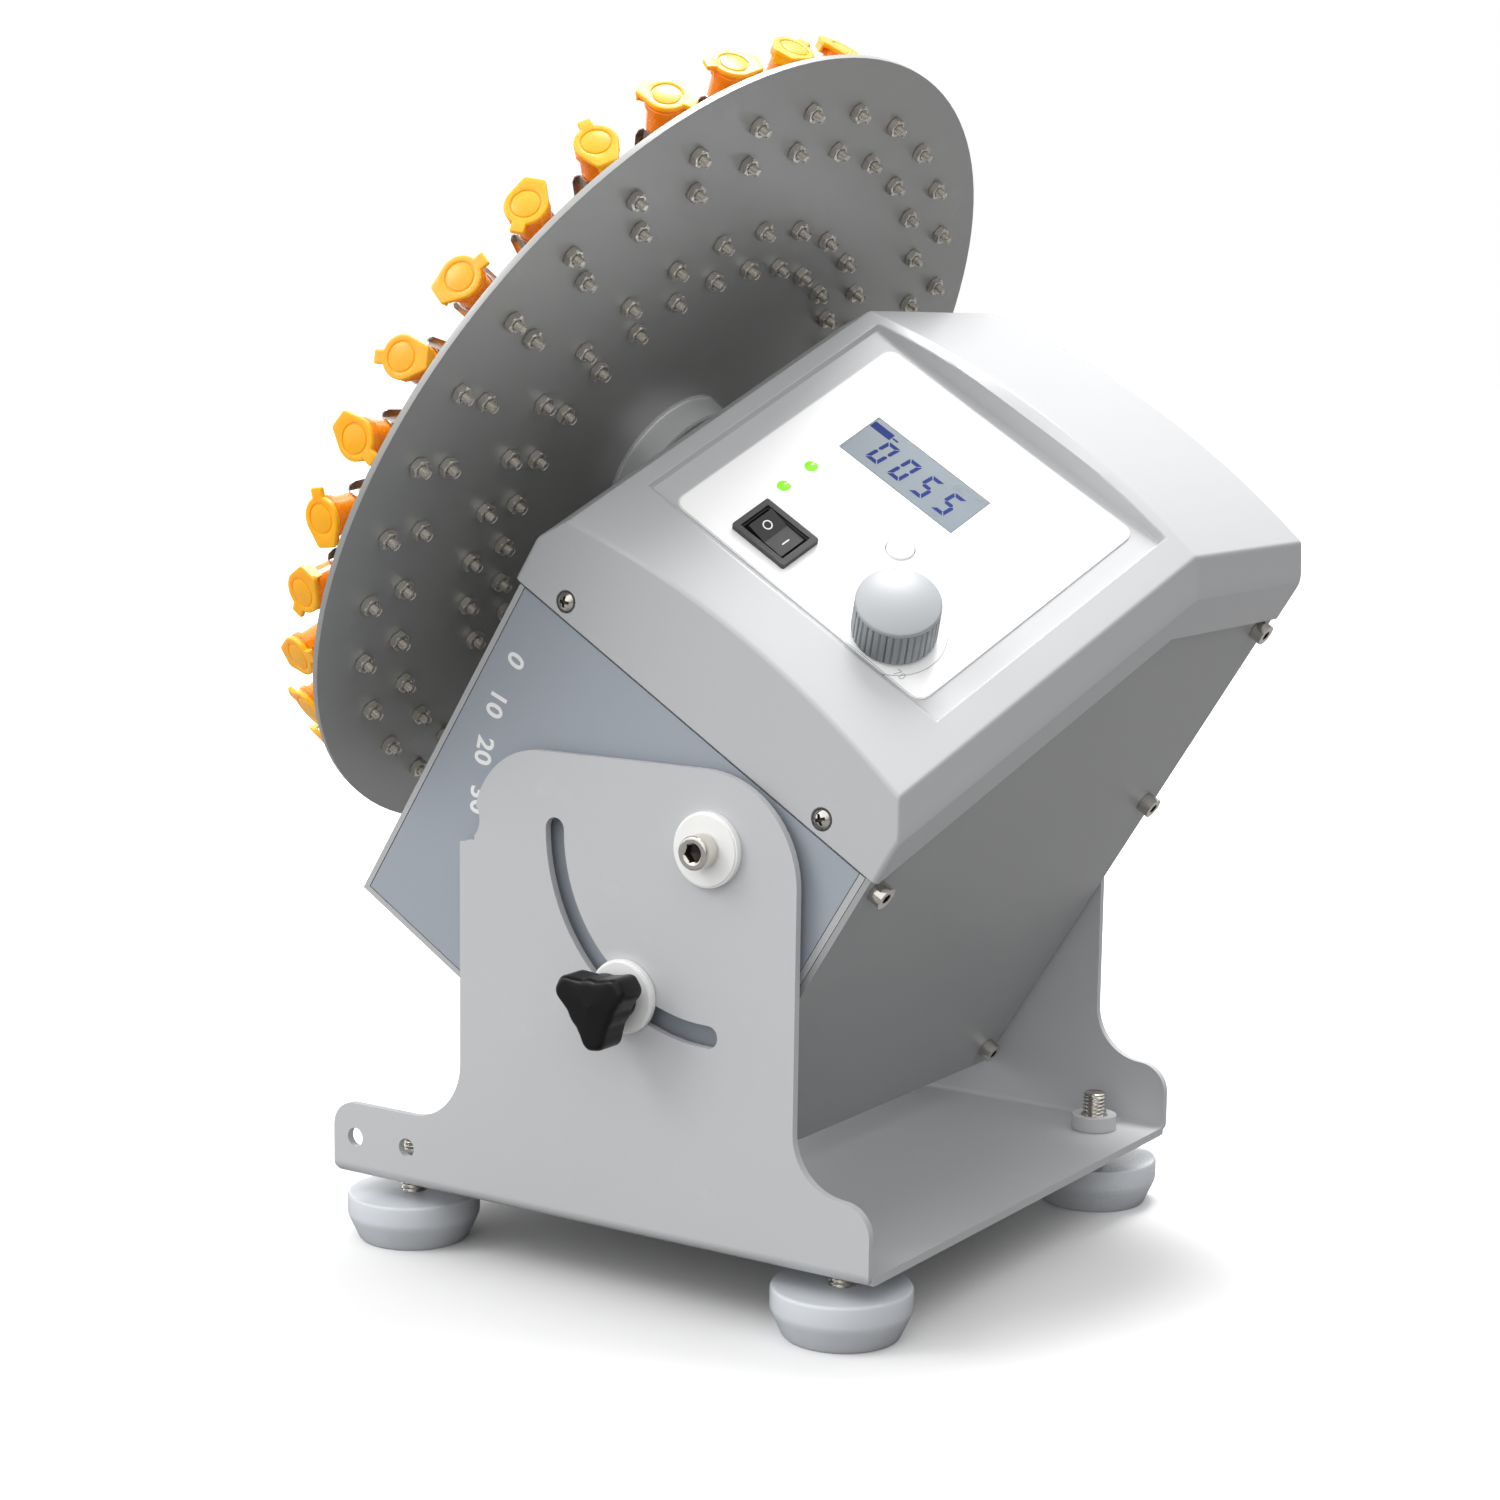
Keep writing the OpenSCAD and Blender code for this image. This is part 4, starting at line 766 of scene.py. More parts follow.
def tube_mesh():
    ph, R = lid_outline()
    n = len(ph)
    ca, sa = np.cos(ph), np.sin(ph)
    rings = []
    C = lambda r, z: rings.append(np.stack([r*ca, r*sa, np.full(n, z)], 1))
    C(0.6*np.ones(n), 0.05)
    C(3.9*np.ones(n), 0.05); C(4.05*np.ones(n), 0.10); C(4.15*np.ones(n), 0.42); C(4.6*np.ones(n), 0.42)
    C(4.72*np.ones(n), 0.10); C(4.9*np.ones(n), 0.04)
    C(np.maximum(5.6, R - 0.75), 0.02); C(R - 0.22, 0.10); C(R, 0.36); C(R, 1.25); C(R - 0.2, 1.5)
    r1 = np.minimum(R - 0.3, 6.25)
    C(r1, 1.62); C(6.2*np.ones(n), 2.35)
    rib = 6.42 + 0.12*np.cos(24*ph)
    C(rib, 2.5); C(rib, 3.95); C(6.1*np.ones(n), 4.15); C(5.4*np.ones(n), 4.5)
    for r, z in ((5.38, 12.0), (5.34, 20.6), (5.2, 21.8), (4.7, 24.6), (3.7, 30.0), (2.75, 35.2), (2.35, 37.3), (1.7, 38.6), (0.8, 39.1)):
        C(r*np.ones(n), z)
    V = np.vstack(rings)
    F = grid_faces(len(rings), n, True, flip=True)
    c0 = len(V); V = np.vstack([V, [[0, 0, 0.0]]])
    F += [(j, (j + 1) % n, c0) for j in range(n)]
    b = (len(rings) - 1)*n
    c1 = len(V); V = np.vstack([V, [[0, 0, 39.2]]])
    F += [(b + (j + 1) % n, b + j, c1) for j in range(n)]
    mats = [0]*(12*n) + [1]*((len(rings) - 13)*n) + [0]*n + [1]*n
    # strap of the hinge
    v, f = prism([(-2.7, -8.3), (2.7, -8.3), (2.7, -7.55), (-2.7, -7.55)], 1.2, 3.85, 0.15, 1)
    v2, f2 = prism([(-2.4, -7.7), (2.4, -7.7), (2.4, -6.0), (-2.4, -6.0)], 2.75, 3.8, 0.15, 1)
    V, F = join_parts([(V, F), (v, f), (v2, f2)])
    mats += [0]*len(f) + [1]*len(f2)
    return V, F, mats


def ring_of(n, ph, r, piece, turn=None):
    V, F, fm = piece
    parts = []; mm = []
    for i in range(n):
        m = Matrix.Rotation(math.radians(ph + i*360/n), 4, 'Z')
        if turn is not None:
            m = m @ Matrix.Translation((r + 20.4, 0, AXIS_H)) @ Matrix.Rotation(math.radians(-90), 4, 'Y') @ Matrix.Rotation(math.radians(turn(i)), 4, 'Z')
        else:
            m = m @ Matrix.Translation((r, 0, 0))
        parts.append((xf(V, m), F)); mm += list(fm)
    v, f = join_parts(parts)
    return v, f, mm


TUBE = tube_mesh()
for name, n, ph, r, off in (("outer", 32, OUT_PH, OUT_R, 0), ("inner", 28, IN_PH, IN_R, 50)):
    v, f, mm = ring_of(n, ph, r, TUBE, lambda i: ((i + off)*137.5 + 40) % 360)
    ob = add_mesh(name + "_tube_ring", v, f, None, D, True, 34, merge=0.0, mats=[M["tube_lid"], M["tube_body"]], face_mats=mm)
    place(ob, "disc", name + "_tubes")


# ------------------------------------------------------------------ clips
def clip_mesh():
    h = AXIS_H - DISC_T; rm = 5.4 + 0.45
    half = [(0.0, 0.3), (2.2, 0.3), (3.6, 0.3), (4.05, 0.42), (4.3, 0.85)]
    a = math.radians(-48)
    p1 = (rm*math.cos(a) + 0.03, h + rm*math.sin(a))
    for k in (0.3, 0.6, 0.9):
        half.append((4.3 + (p1[0] - 4.3)*k, 0.85 + (p1[1] - 0.85)*k))
    for d in range(-44, 21, 8):
        half.append((rm*math.cos(math.radians(d)), h + rm*math.sin(math.radians(d))))
    half += [(5.55, h + 2.35), (6.0, h + 3.05), (6.6, h + 3.8), (7.15, h + 4.3)]
    path = [(-x, y) for x, y in reversed(half[1:])] + half
    P = np.array(path)
    T = np.gradient(P, axis=0); T /= np.linalg.norm(T, axis=1)[:, None]
    Nn = np.stack([-T[:, 1], T[:, 0]], 1)
    s = np.concatenate([[0], np.cumsum(np.linalg.norm(np.diff(P, axis=0), axis=1))])
    dist = np.minimum(s, s[-1] - s)
    L = 9.0 - np.where(dist < 3.0, 3.0 - np.sqrt(np.maximum(0, 9 - (3.0 - dist)**2)), 0)
    zs = np.array([-1, -0.97, -0.6, -0.2, 0.2, 0.6, 0.97, 1])
    V = []
    for side in (0.3, -0.3):
        for i in range(len(P)):
            for z in zs:
                q = P[i] + Nn[i]*side*(0.72 if abs(z) == 1 else 1)
                V.append((L[i]*z, -q[0], DISC_T + 0.02 + q[1]))
    V = np.array(V)
    nr, nc = len(P), len(zs)
    b = nr*nc
    F = grid_faces(nr, nc) + grid_faces(nr, nc, base=b, flip=True)
    for i in range(nr - 1):
        F.append((i*nc, b + i*nc, b + (i + 1)*nc, (i + 1)*nc))
        a1, a2 = i*nc + nc - 1, (i + 1)*nc + nc - 1
        F.append((a1, a2, b + a2, b + a1))
    for j in range(nc - 1):
        F.append((j, j + 1, b + j + 1, b + j))
        q = (nr - 1)*nc
        F.append((q + j + 1, q + j, b + q + j, b + q + j + 1))
    # ears of the base, past the arms
    ears = []
    for sx in (-1, 1):
        o = [(sx*8.9, -4.3), (sx*10.2, -4.3), (sx*11, -3.5), (sx*11, 3.5), (sx*10.2, 4.3), (sx*8.9, 4.3)]
        if sx < 0:
            o = o[::-1]
        v, f = prism(o, DISC_T + 0.02, DISC_T + 0.62, 0.08, 1)
        ears.append((v, f))
    V, F = join_parts([(V, F)] + ears)
    return V, F, [0]*len(F)


CLIP = clip_mesh()
for name, n, ph, r in (("outer", 32, OUT_PH, OUT_R), ("inner", 28, IN_PH, IN_R)):
    v, f, mm = ring_of(n, ph, r, CLIP)
    ob = add_mesh(name + "_clip_ring", v, f, M["spring"], D, True, 40, merge=0.0)
    place(ob, "disc", name + "_clips")


# ------------------------------------------------------------------ nuts and screws of the clips
def nut_mesh(af=5.5, t=2.4, hole=1.56, n=36):
    ph = np.radians(np.arange(n)*360/n)
    R = af/2/np.cos((ph % math.radians(60)) - math.radians(30))
    rings = []
    C = lambda r, z: rings.append(np.stack([np.cos(ph)*r, np.sin(ph)*r, np.full(n, z)], 1))
    C(hole*np.ones(n), 0.0); C(hole*np.ones(n), t - 0.42); C((hole + 0.36)*np.ones(n), t)
    C(np.minimum(R, 2.60)*1.0, t); C(np.minimum(R, 2.92), t - 0.14); C(R, t - 0.34)
    C(R, 0.34); C(np.minimum(R, 2.92), 0.14); C(np.minimum(R, 2.6), 0.0)
    V = np.vstack(rings)
    F = grid_faces(len(rings), n, True)
    b = (len(rings) - 1)*n
    F += [(b + j, b + (j + 1) % n, (j + 1) % n, j) for j in range(n)]
    return V, F


def thread_profile(r, z0, z1, p, depth, chamf=0.45):
    pts = []
    z = z0
    while z < z1 - p*0.6:
        pts += [(r - depth, z), (r, z + p*0.42), (r, z + p*0.58)]
        z += p
    pts += [(r - depth, min(z, z1 - chamf)), (r - depth, z1 - chamf), (r - depth - chamf*0.8, z1)]
    return pts


def clip_screw_mesh():
    head = [(2.35, 2.0), (2.6, 1.6), (2.7, 1.0), (2.7, 0.0), (1.45, 0.0), (1.45, -DISC_T - 0.65 - 2.0)]
    th = thread_profile(1.46, DISC_T + 0.65 + 2.1, DISC_T + 0.65 + 4.9, 0.5, 0.27)
    prof = head + [(r, -z) for r, z in th]
    prof = [(0.9, 2.0)] + prof
    V, F = revolve(prof[::-1], 14)
    return V, F


rng = np.random.default_rng(11)
np_parts, sc_parts = [], []
NUT, SCR = nut_mesh(), clip_screw_mesh()
for n, ph, r in ((32, OUT_PH, OUT_R), (28, IN_PH, IN_R)):
    for i in range(n):
        for s in (-1, 1):
            base = Matrix.Rotation(math.radians(ph + i*360/n), 4, 'Z') @ Matrix.Translation((r + s*6.75, 0, 0))
            m = base @ Matrix.Translation((0, 0, -0.04)) @ Matrix.Rotation(float(rng.uniform(0, 6.28)), 4, 'Z') @ Matrix.Rotation(math.pi, 4, 'X')
            np_parts.append((xf(NUT[0], m), NUT[1]))
            sc_parts.append((xf(SCR[0], base @ Matrix.Translation((0, 0, DISC_T + 0.65))), SCR[1]))
v, f = join_parts(np_parts)
place(add_mesh("nut_set", v, f, M["dark_steel"], D, True, 25, merge=0.0), "disc", "clip_nuts")
v, f = join_parts(sc_parts)
place(add_mesh("clip_screw_set", v, f, M["dark_steel"], D, True, 50, merge=0.0), "disc", "clip_screws")


# ------------------------------------------------------------------ speed knob
def knob_mesh():
    n = 240
    ribs = 38

    def shape(p, r, z):
        if z < 1.0 or z > 12.9:
            return r
        c = abs(math.cos(p*ribs/2))
        g = 1 - max(0.0, 1 - c*1.9)**1.0
        return r - 0.75*(1 - min(1, c*1.9))
    prof = [(5.0, 0.9), (12.2, 0.9), (12.45, 1.15), (12.55, 3.0), (12.5, 9.0), (12.45, 12.6), (12.42, 12.85), (12.15, 13.0)]
    a = math.acos(12.2/36)
    cap = [(12.15, 13.0), (12.38, 13.15), (12.45, 13.5)]
    z0 = 16.4 - 36
    th = math.asin(11.9/36)
    cap += [(12.4, 13.9), (12.2, 14.25)]
    for k in range(0, 13):
        t = th*(1 - k/13)
        cap.append((36*math.sin(t), z0 + 36*math.cos(t)))
    V1, F1 = revolve(prof, n, True, False, shape)
    V2, F2 = revolve(cap, n, False, True)
    V, F = join_parts([(V1, F1), (V2, F2)])
    return V, F, [0]*len(F1) + [1]*len(F2)


M["knob_skirt"] = material("knob_skirt_grey", lin(150, 155, 158), 0.46, 0.0, 0.02, 0.04, 0.12, 2200, 50)
v, f, mm = knob_mesh()
K = S @ Matrix.Translation((-1.3, 41, 0))
ob = add_mesh("speed_knob_cap", v, f, None, K, True, 40, merge=0.002, mats=[M["knob_skirt"], M["knob"]], face_mats=mm)
place(ob, "speed_knob", "control_knob")


# ------------------------------------------------------------------ cover screws and pivot screws
def pan_head_mesh(R=2.9, rs=3.6, n=96, nr=30):
    """a domed head with a cross recess, and its shank below"""
    rows = [[(1.45, -6.0)], [(1.45, 0.0)], [(2.75, 0.0)], [(2.9, 0.12)], [(2.9, 0.50)], [(2.84, 0.66)]]
    V = []
    ph = np.arange(n)*2*math.pi/n
    for row in rows:
        r, z = row[0]
        V.append(np.stack([r*np.cos(ph), r*np.sin(ph), np.full(n, z)], 1))
    for k in range(nr):
        r = 2.78*(1 - k/nr)
        x, y = r*np.cos(ph), r*np.sin(ph)
        z = 2.1 - rs + math.sqrt(rs*rs - r*r)

        def step(a, e, w):
            t = np.clip((e + w - np.abs(a))/(2*w), 0, 1)
            return t*t*(3 - 2*t)
        arm = np.maximum(step(y, 0.38, 0.07)*step(x, 1.62, 0.10), step(x, 0.38, 0.07)*step(y, 1.62, 0.10))
        arm = np.maximum(arm, step(np.hypot(x, y), 0.72, 0.10))
        dep = 1.15*(1 - 0.42*min(1, r/1.62))
        V.append(np.stack([x, y, z - dep*arm], 1))
    N = len(rows) + nr
    V = np.vstack(V)
    F = grid_faces(N, n, True)
    # faces sunk into the cross recess take the dark socket material: painted shade inside the recess
    mm = []
    for fc in F:
        cx, cy, cz = V[list(fc)].mean(0)
        low = 2.1 - rs + math.sqrt(max(0.0, rs*rs - cx*cx - cy*cy)) - cz
        mm.append(1 if low > 0.3 and cz > 0.7 and math.hypot(cx, cy) < 1.9 else 0)
    c = len(V); V = np.vstack([V, [[0, 0, 2.1 - 1.15]], [[0, 0, -6.0]]])
    b = (N - 1)*n
    F += [(b + j, b + (j + 1) % n, c) for j in range(n)]
    F += [((j + 1) % n, j, c + 1) for j in range(n)]
    mm += [1]*n + [0]*n
    return V, F, mm


def cap_screw_mesh(n=96):
    """a socket head cap screw: smooth head with a chamfered rim and a six sided socket"""
    ph = np.arange(n)*2*math.pi/n
    hexr = 2.5/np.cos(((ph + math.pi/6) % (math.pi/3)) - math.pi/6)
    one = np.ones(n)
    rows = [(3*one, -17), (3*one, 0), (4.75*one, 0), (5*one, 0.25), (5*one, 5.3), (4.93*one, 5.62), (4.75*one, 5.86), (4.5*one, 6.0),
            (3.15*one, 6.0), (3.02*one, 5.93), (hexr*1.0, 5.55), (hexr*1.0, 2.75), (hexr*0.94, 2.7)]
    V = np.vstack([np.stack([r*np.cos(ph), r*np.sin(ph), np.full(n, float(z))], 1) for r, z in rows])
    F = grid_faces(len(rows), n, True)
    # socket walls and floor take the dark socket material: painted shade inside the socket
    mm = [0]*len(F)
    for k in range(10*n, 12*n):
        mm[k] = 1
    c = len(V); V = np.vstack([V, [[0, 0, 1.9]], [[0, 0, -17.0]]])
    b = (len(rows) - 1)*n
    F += [(b + j, b + (j + 1) % n, c) for j in range(n)]
    mm += [1]*n
    F += [((j + 1) % n, j, c + 1) for j in range(n)]
    mm += [0]*n
    return V, F, mm


screw_places = []
for u in (-81.9, 22.8):
    screw_places.append(H @ Matrix.Translation((u, -93.0, 27.6)) @ Matrix.Rotation(math.radians(90), 4, 'X'))
    screw_places.append(H @ Matrix.Translation((u, 93.0, 95.9 + 4.9)) @ Matrix.Rotation(math.radians(-90), 4, 'X'))
v, f, mm = pan_head_mesh()
parts = []
for k, m in enumerate(screw_places):
    mk = m @ Matrix.Translation((0, 0, -0.85)) @ Matrix.Rotation(math.radians((22, 61, 48, 10)[k]), 4, 'Z')
    parts.append((xf(v, mk), f))
v2, f2 = join_parts(parts)
ob = add_mesh("cover_screw_set", v2, f2, None, None, True, 30, merge=0.0, mats=[M["stainless"], M["socket"]], face_mats=mm*4)
place(ob, "head", "cover_screws")
# thin dark ring just above the cover round each screw: painted shadow of the gap
v, f = revolve([(2.95, 0.03), (3.3, 0.03), (3.3, -0.02), (2.95, -0.02), (2.95, 0.03)], 72, False, False)
v2, f2 = join_parts([(xf(v, m), f) for m in screw_places])
ob = add_mesh("cover_screw_shadow_rings", v2, f2, M["painted_gap_shadow"], None, True, 30, merge=0.001)
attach(ob, "head")
v, f, mm = cap_screw_mesh()
parts = []; mm2 = []
for sgn in (-1, 1):
    mk = H @ Matrix.Translation((0, sgn*(98 + 3.05), 0)) @ Matrix.Rotation(math.radians(90 if sgn < 0 else -90), 4, 'X') @ Matrix.Rotation(math.radians(12), 4, 'Z')
    parts.append((xf(v, mk), f)); mm2 += mm
v2, f2 = join_parts(parts)
ob = add_mesh("pivot_screw_set", v2, f2, None, None, True, 30, merge=0.0, mats=[M["stainless"], M["socket"]], face_mats=mm2)
place(ob, "head", "pivot_screws")


# ------------------------------------------------------------------ clamp knob
def star_outline(n=180):
    R = []
    for k in range(n):
        p = 360*k/n
        best = 8.3
        for lobe in LOBES:
            d = (p - lobe + 180) % 360 - 180
            t = math.radians(abs(d))
            if t > math.radians(80):
                continue
            ct, st = math.cos(t), math.sin(t)
            # side of the wedge: half width 8.2 at the middle, 4.1 at 9.6 out
            q = 8.2/(st + ct*4.1/9.6)
            # rounded end, cut nearly flat
            c = 9.5*ct
            disc_ = c*c - (9.5*9.5 - 4.0*4.0)
            if disc_ > 0 and q > 9.5*ct:
                e = c + math.sqrt(disc_)
            else:
                e = 0
            r = q if q*ct <= 9.6 else e
            r = min(r, 13.0/ct) if r > 0 else 0
            best = max(best, r)
        R.append(best)
    R = np.array(R)
    for _ in range(5):
        R = (np.roll(R, 1) + 2*R + np.roll(R, -1))/4
    return [(float(R[k]*math.cos(2*math.pi*k/n)), float(R[k]*math.sin(2*math.pi*k/n))) for k in range(n)]


LOBES = (33, 154, 277)


def star_mesh():
    o = np.array(star_outline())
    n = len(o)
    rad = np.linalg.norm(o, axis=1); d = o/rad[:, None]
    rings = []

    def ring(k_in, z):
        rings.append(np.hstack([o - d*k_in, np.full((n, 1), z)]))
    c_back = np.hstack([d*5.9, np.full((n, 1), 5.3)])
    rings.append(c_back)
    for a in range(0, 91, 18):
        t = math.radians(a)
        ring(1.0*(1 - math.sin(t)), 5.0 + 1.0*(1 - math.cos(t)))
    ring(0, 11)
    bv = 2.0
    for a in range(0, 91, 15):
        t = math.radians(a)
        ring(bv*(1 - math.cos(t)), 15.6 - bv + bv*math.sin(t) + 0.0)
    for k in (0.75, 0.5, 0.25, 0.08):
        base = (rad - bv)*k
        rings.append(np.hstack([d*base[:, None], np.full((n, 1), 15.6 + 0.5*(1 - k))]))
    V = np.vstack(rings)
    F = grid_faces(len(rings), n, True)
    c = len(V); V = np.vstack([V, [[0, 0, 16.15]]])
    b = (len(rings) - 1)*n
    F += [(b + j, b + (j + 1) % n, c) for j in range(n)]
    v2, f2 = revolve([(2.6, 0.0), (5.9, 0.0), (6.2, 0.3), (6.2, 5.6)], 64, False, False)
    # stem is open inside the knob: close both with inner wall
    v3, f3 = revolve([(2.6, 0.0), (2.6, 5.3), (5.9, 5.3)], 64, False, False)
    f3 = [q[::-1] for q in f3]
    return join_parts([(V, F), (v2, f2), (v3, f3)])


K = H @ Matrix.Translation((0, -98 - 3.1, -54.9)) @ Matrix.Rotation(-TH, 4, 'Y') @ Matrix.Rotation(math.radians(90), 4, 'X')
v, f = star_mesh()
ob = add_mesh("clamp_star", v, f, M["black"], K, True, 40, merge=0.001)
place(ob, "clamp_knob", "tilt_knob")


# ------------------------------------------------------------------ levelling studs with real threads
def stud_mesh(r, p, depth, z0, z1, n=36, step=0.17, chamf=0.8):
    nz = int(round((z1 - z0)/(p*step)))
    rows = []
    for i in range(nz + 1):
        z = z0 + (z1 - z0)*i/nz
        row = []
        for j in range(n):
            ph = 2*math.pi*j/n
            q = (z/p - j/n) % 1.0
            tri = abs(q*2 - 1)
            rr = r - depth*(1 - min(1, max(0, (tri - 0.12)/0.76)))
            lim = r - depth + max(0, (z1 - z))/chamf*depth*1.2 - (0.25 if z >= z1 - 0.01 else 0)
            rr = min(rr, lim)
            row.append((rr*math.cos(ph), rr*math.sin(ph), z))
        rows.append(row)
    V = np.array([q for r_ in rows for q in r_])
    F = grid_faces(nz + 1, n, True)
    for b, flip in ((0, True), (nz*n, False)):
        c = len(V)
        V = np.vstack([V, [[0, 0, z0 if b == 0 else z1 - 0.3]]])
        F += [((b + (j + 1) % n, b + j, c) if flip else (b + j, b + (j + 1) % n, c)) for j in range(n)]
    return V, F


v, f = stud_mesh(4.0, 1.25, 0.62, 4.1, 36.4)
for fx, fy, nm in ((-1, -1, "front_left"), (1, -1, "front_right"), (-1, 1, "rear_left"), (1, 1, "rear_right")):
    ob = add_mesh("stud_" + nm, v, f, M["stainless"], Matrix.Translation((XO + fx*79.5, fy*81.2, 0)), True, 50, merge=0.0)
    place(ob, "foot_" + nm, "foot_stud_" + nm)


# ------------------------------------------------------------------ printed marks, painted film-edge shadow and display
def flat_piece(polys, mat, frame_m, z0, z1, name, body, mats=None):
    parts = [prism(o, z0, z1) for o in polys]
    v, f = join_parts(parts)
    ob = add_mesh(name, v, f, mat, frame_m, False, merge=0.0)
    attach(ob, body)
    return ob


def ring_poly(cx, cy, r0, r1, a0, a1, n=40):
    """arc strip as a list of small quads, each a closed outline"""
    out = []
    for k in range(n):
        b0, b1 = math.radians(a0 + (a1 - a0)*k/n), math.radians(a0 + (a1 - a0)*(k + 1)/n)
        out.append([(cx + r0*math.cos(b0), cy + r0*math.sin(b0)), (cx + r1*math.cos(b0), cy + r1*math.sin(b0)),
                    (cx + r1*math.cos(b1), cy + r1*math.sin(b1)), (cx + r0*math.cos(b1), cy + r0*math.sin(b1))])
    return out


def strip_mesh(center, width, z0, z1, closed=False):
    """a line of the given width along a path, one closed solid"""
    P = np.array(center, float); n = len(P)
    if closed:
        T = np.roll(P, -1, 0) - np.roll(P, 1, 0)
    else:
        T = np.gradient(P, axis=0)
    T /= np.linalg.norm(T, axis=1)[:, None]
    Nn = np.stack([-T[:, 1], T[:, 0]], 1)*width/2
    sec = [np.hstack([P - Nn, np.full((n, 1), z0)]), np.hstack([P + Nn, np.full((n, 1), z0)]),
           np.hstack([P + Nn, np.full((n, 1), z1)]), np.hstack([P - Nn, np.full((n, 1), z1)])]
    V = np.stack(sec, 1).reshape(-1, 3)
    F = []
    m = n if closed else n - 1
    for i in range(m):
        k = (i + 1) % n
        for j in range(4):
            F.append((i*4 + j, i*4 + (j + 1) % 4, k*4 + (j + 1) % 4, k*4 + j))
    if not closed:
        F.append((3, 2, 1, 0)); b = (n - 1)*4
        F.append((b, b + 1, b + 2, b + 3))
    return V, F


# display: glass face, blue label block, four slanted seven-segment digits
LZ = -0.12


def seg_digit(ch, u, w, wd=4.9, ht=9.6, t=1.3, sl=0.12):
    segs = {"0": "abcdef", "5": "acdfg"}[ch]
    g = 0.16
    h2 = ht/2
    shp = {
        "a": [(g + t*0.1, ht), (wd - g - t*0.1, ht), (wd - g - t, ht - t), (g + t, ht - t)],
        "d": [(g + t*0.1, 0), (g + t, t), (wd - g - t, t), (wd - g - t*0.1, 0)],
        "f": [(0, ht - g - t*0.1), (t, ht - g - t), (t, h2 + g + t*0.45), (t*0.45, h2 + g), (0, h2 + g + t*0.4)],
        "e": [(0, g + t*0.1), (0, h2 - g - t*0.4), (t*0.45, h2 - g), (t, h2 - g - t*0.45), (t, g + t)],
        "b": [(wd, ht - g - t*0.1), (wd, h2 + g + t*0.4), (wd - t*0.45, h2 + g), (wd - t, h2 + g + t*0.45), (wd - t, ht - g - t)],
        "c": [(wd, g + t*0.1), (wd - t, g + t), (wd - t, h2 - g - t*0.45), (wd - t*0.45, h2 - g), (wd, h2 - g - t*0.4)],
        "g": [(g + t*0.55, h2), (g + t, h2 + t/2), (wd - g - t, h2 + t/2), (wd - g - t*0.55, h2), (wd - g - t, h2 - t/2), (g + t, h2 - t/2)],
    }
    return [[(u + x + sl*y, w + y) for x, y in shp[s]] for s in segs]


digits = []
for k, ch in enumerate("0055"):
    digits += seg_digit(ch, -53.6 + k*9.0, 83.6)
flat_piece(digits, M["ink_blue"], S, LZ, LZ + 0.05, "display_digits", "head")
flat_piece([rrect(-60.8, 93.5, -52.9, 96.2, 0.15, 1), rrect(-52.6, 94.6, -50.4, 95.2, 0.1, 1)], M["ink_blue"], S, LZ, LZ + 0.05, "display_label_block", "head")

# grey line round the panel film as a painted shadow along its edge; button outline, dial arc and its end number
v, f = strip_mesh(rrect(-78.5, 28.5, 20.7, 121.3, 3.7, 8), 0.22, -0.02, 0.015, True)
ob = add_mesh("film_edge_painted_shadow", v, f, M["print_and_painted_shadow_grey"], S, False, merge=0.0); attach(ob, "head")
v, f = strip_mesh([(-21.4 + 3.95*math.cos(a), 65.1 + 3.95*math.sin(a)) for a in np.linspace(0, 2*math.pi, 64, endpoint=False)], 0.2, 0.48, 0.51, True)
ob = add_mesh("button_outline", v, f, M["print_and_painted_shadow_grey"], S, False, merge=0.0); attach(ob, "button")
v, f = strip_mesh([(-1.3 + 15.4*math.cos(math.radians(a)), 41 + 15.4*math.sin(math.radians(a))) for a in np.linspace(-100, 40, 70)], 0.35, -0.02, 0.015)
ob = add_mesh("dial_arc", v, f, M["print_and_painted_shadow_grey"], S, False, merge=0.0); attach(ob, "head")


def text_piece(chars, size, frame_m, origin, right, up, z, thick, mat, name, body, spacing=1.0, center=True, bold=0.0):
    """characters as thin solids; origin, right and up are in the frame's XY plane"""
    cu = bpy.data.curves.new(name, 'FONT')
    cu.body = chars
    cu.size = size
    cu.space_character = spacing
    cu.align_x = 'CENTER' if center else 'LEFT'
    cu.align_y = 'CENTER'
    cu.extrude = thick/2
    cu.offset = bold
    cu.resolution_u = 6
    tmp = bpy.data.objects.new(name + "_tmp", cu)
    sc.collection.objects.link(tmp)
    bpy.context.view_layer.update()
    dg = bpy.context.evaluated_depsgraph_get()
    me = bpy.data.meshes.new_from_object(tmp.evaluated_get(dg))
    bpy.data.objects.remove(tmp); bpy.data.curves.remove(cu)
    m = Matrix(((right[0], up[0], 0, origin[0]), (right[1], up[1], 0, origin[1]), (0, 0, 1, z), (0, 0, 0, 1)))
    t = Matrix.Diagonal((MM, MM, MM, 1)) @ frame_m @ m
    me.transform(t)
    me.materials.clear(); me.materials.append(mat)
    bm = bmesh.new(); bm.from_mesh(me)
    bmesh.ops.remove_doubles(bm, verts=bm.verts, dist=1e-7)
    bmesh.ops.recalc_face_normals(bm, faces=bm.faces)
    bm.to_mesh(me); bm.free()
    me.polygons.foreach_set("use_smooth", [False]*len(me.polygons))
    ob = bpy.data.objects.new(name, me)
    sc.collection.objects.link(ob)
    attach(ob, body)
    return ob


text_piece("70", 3.6, S, (10.2, 27.9 + 3.3), (1, 0), (0, 1), 0.0, 0.03, M["print_and_painted_shadow_grey"], "dial_number", "head")

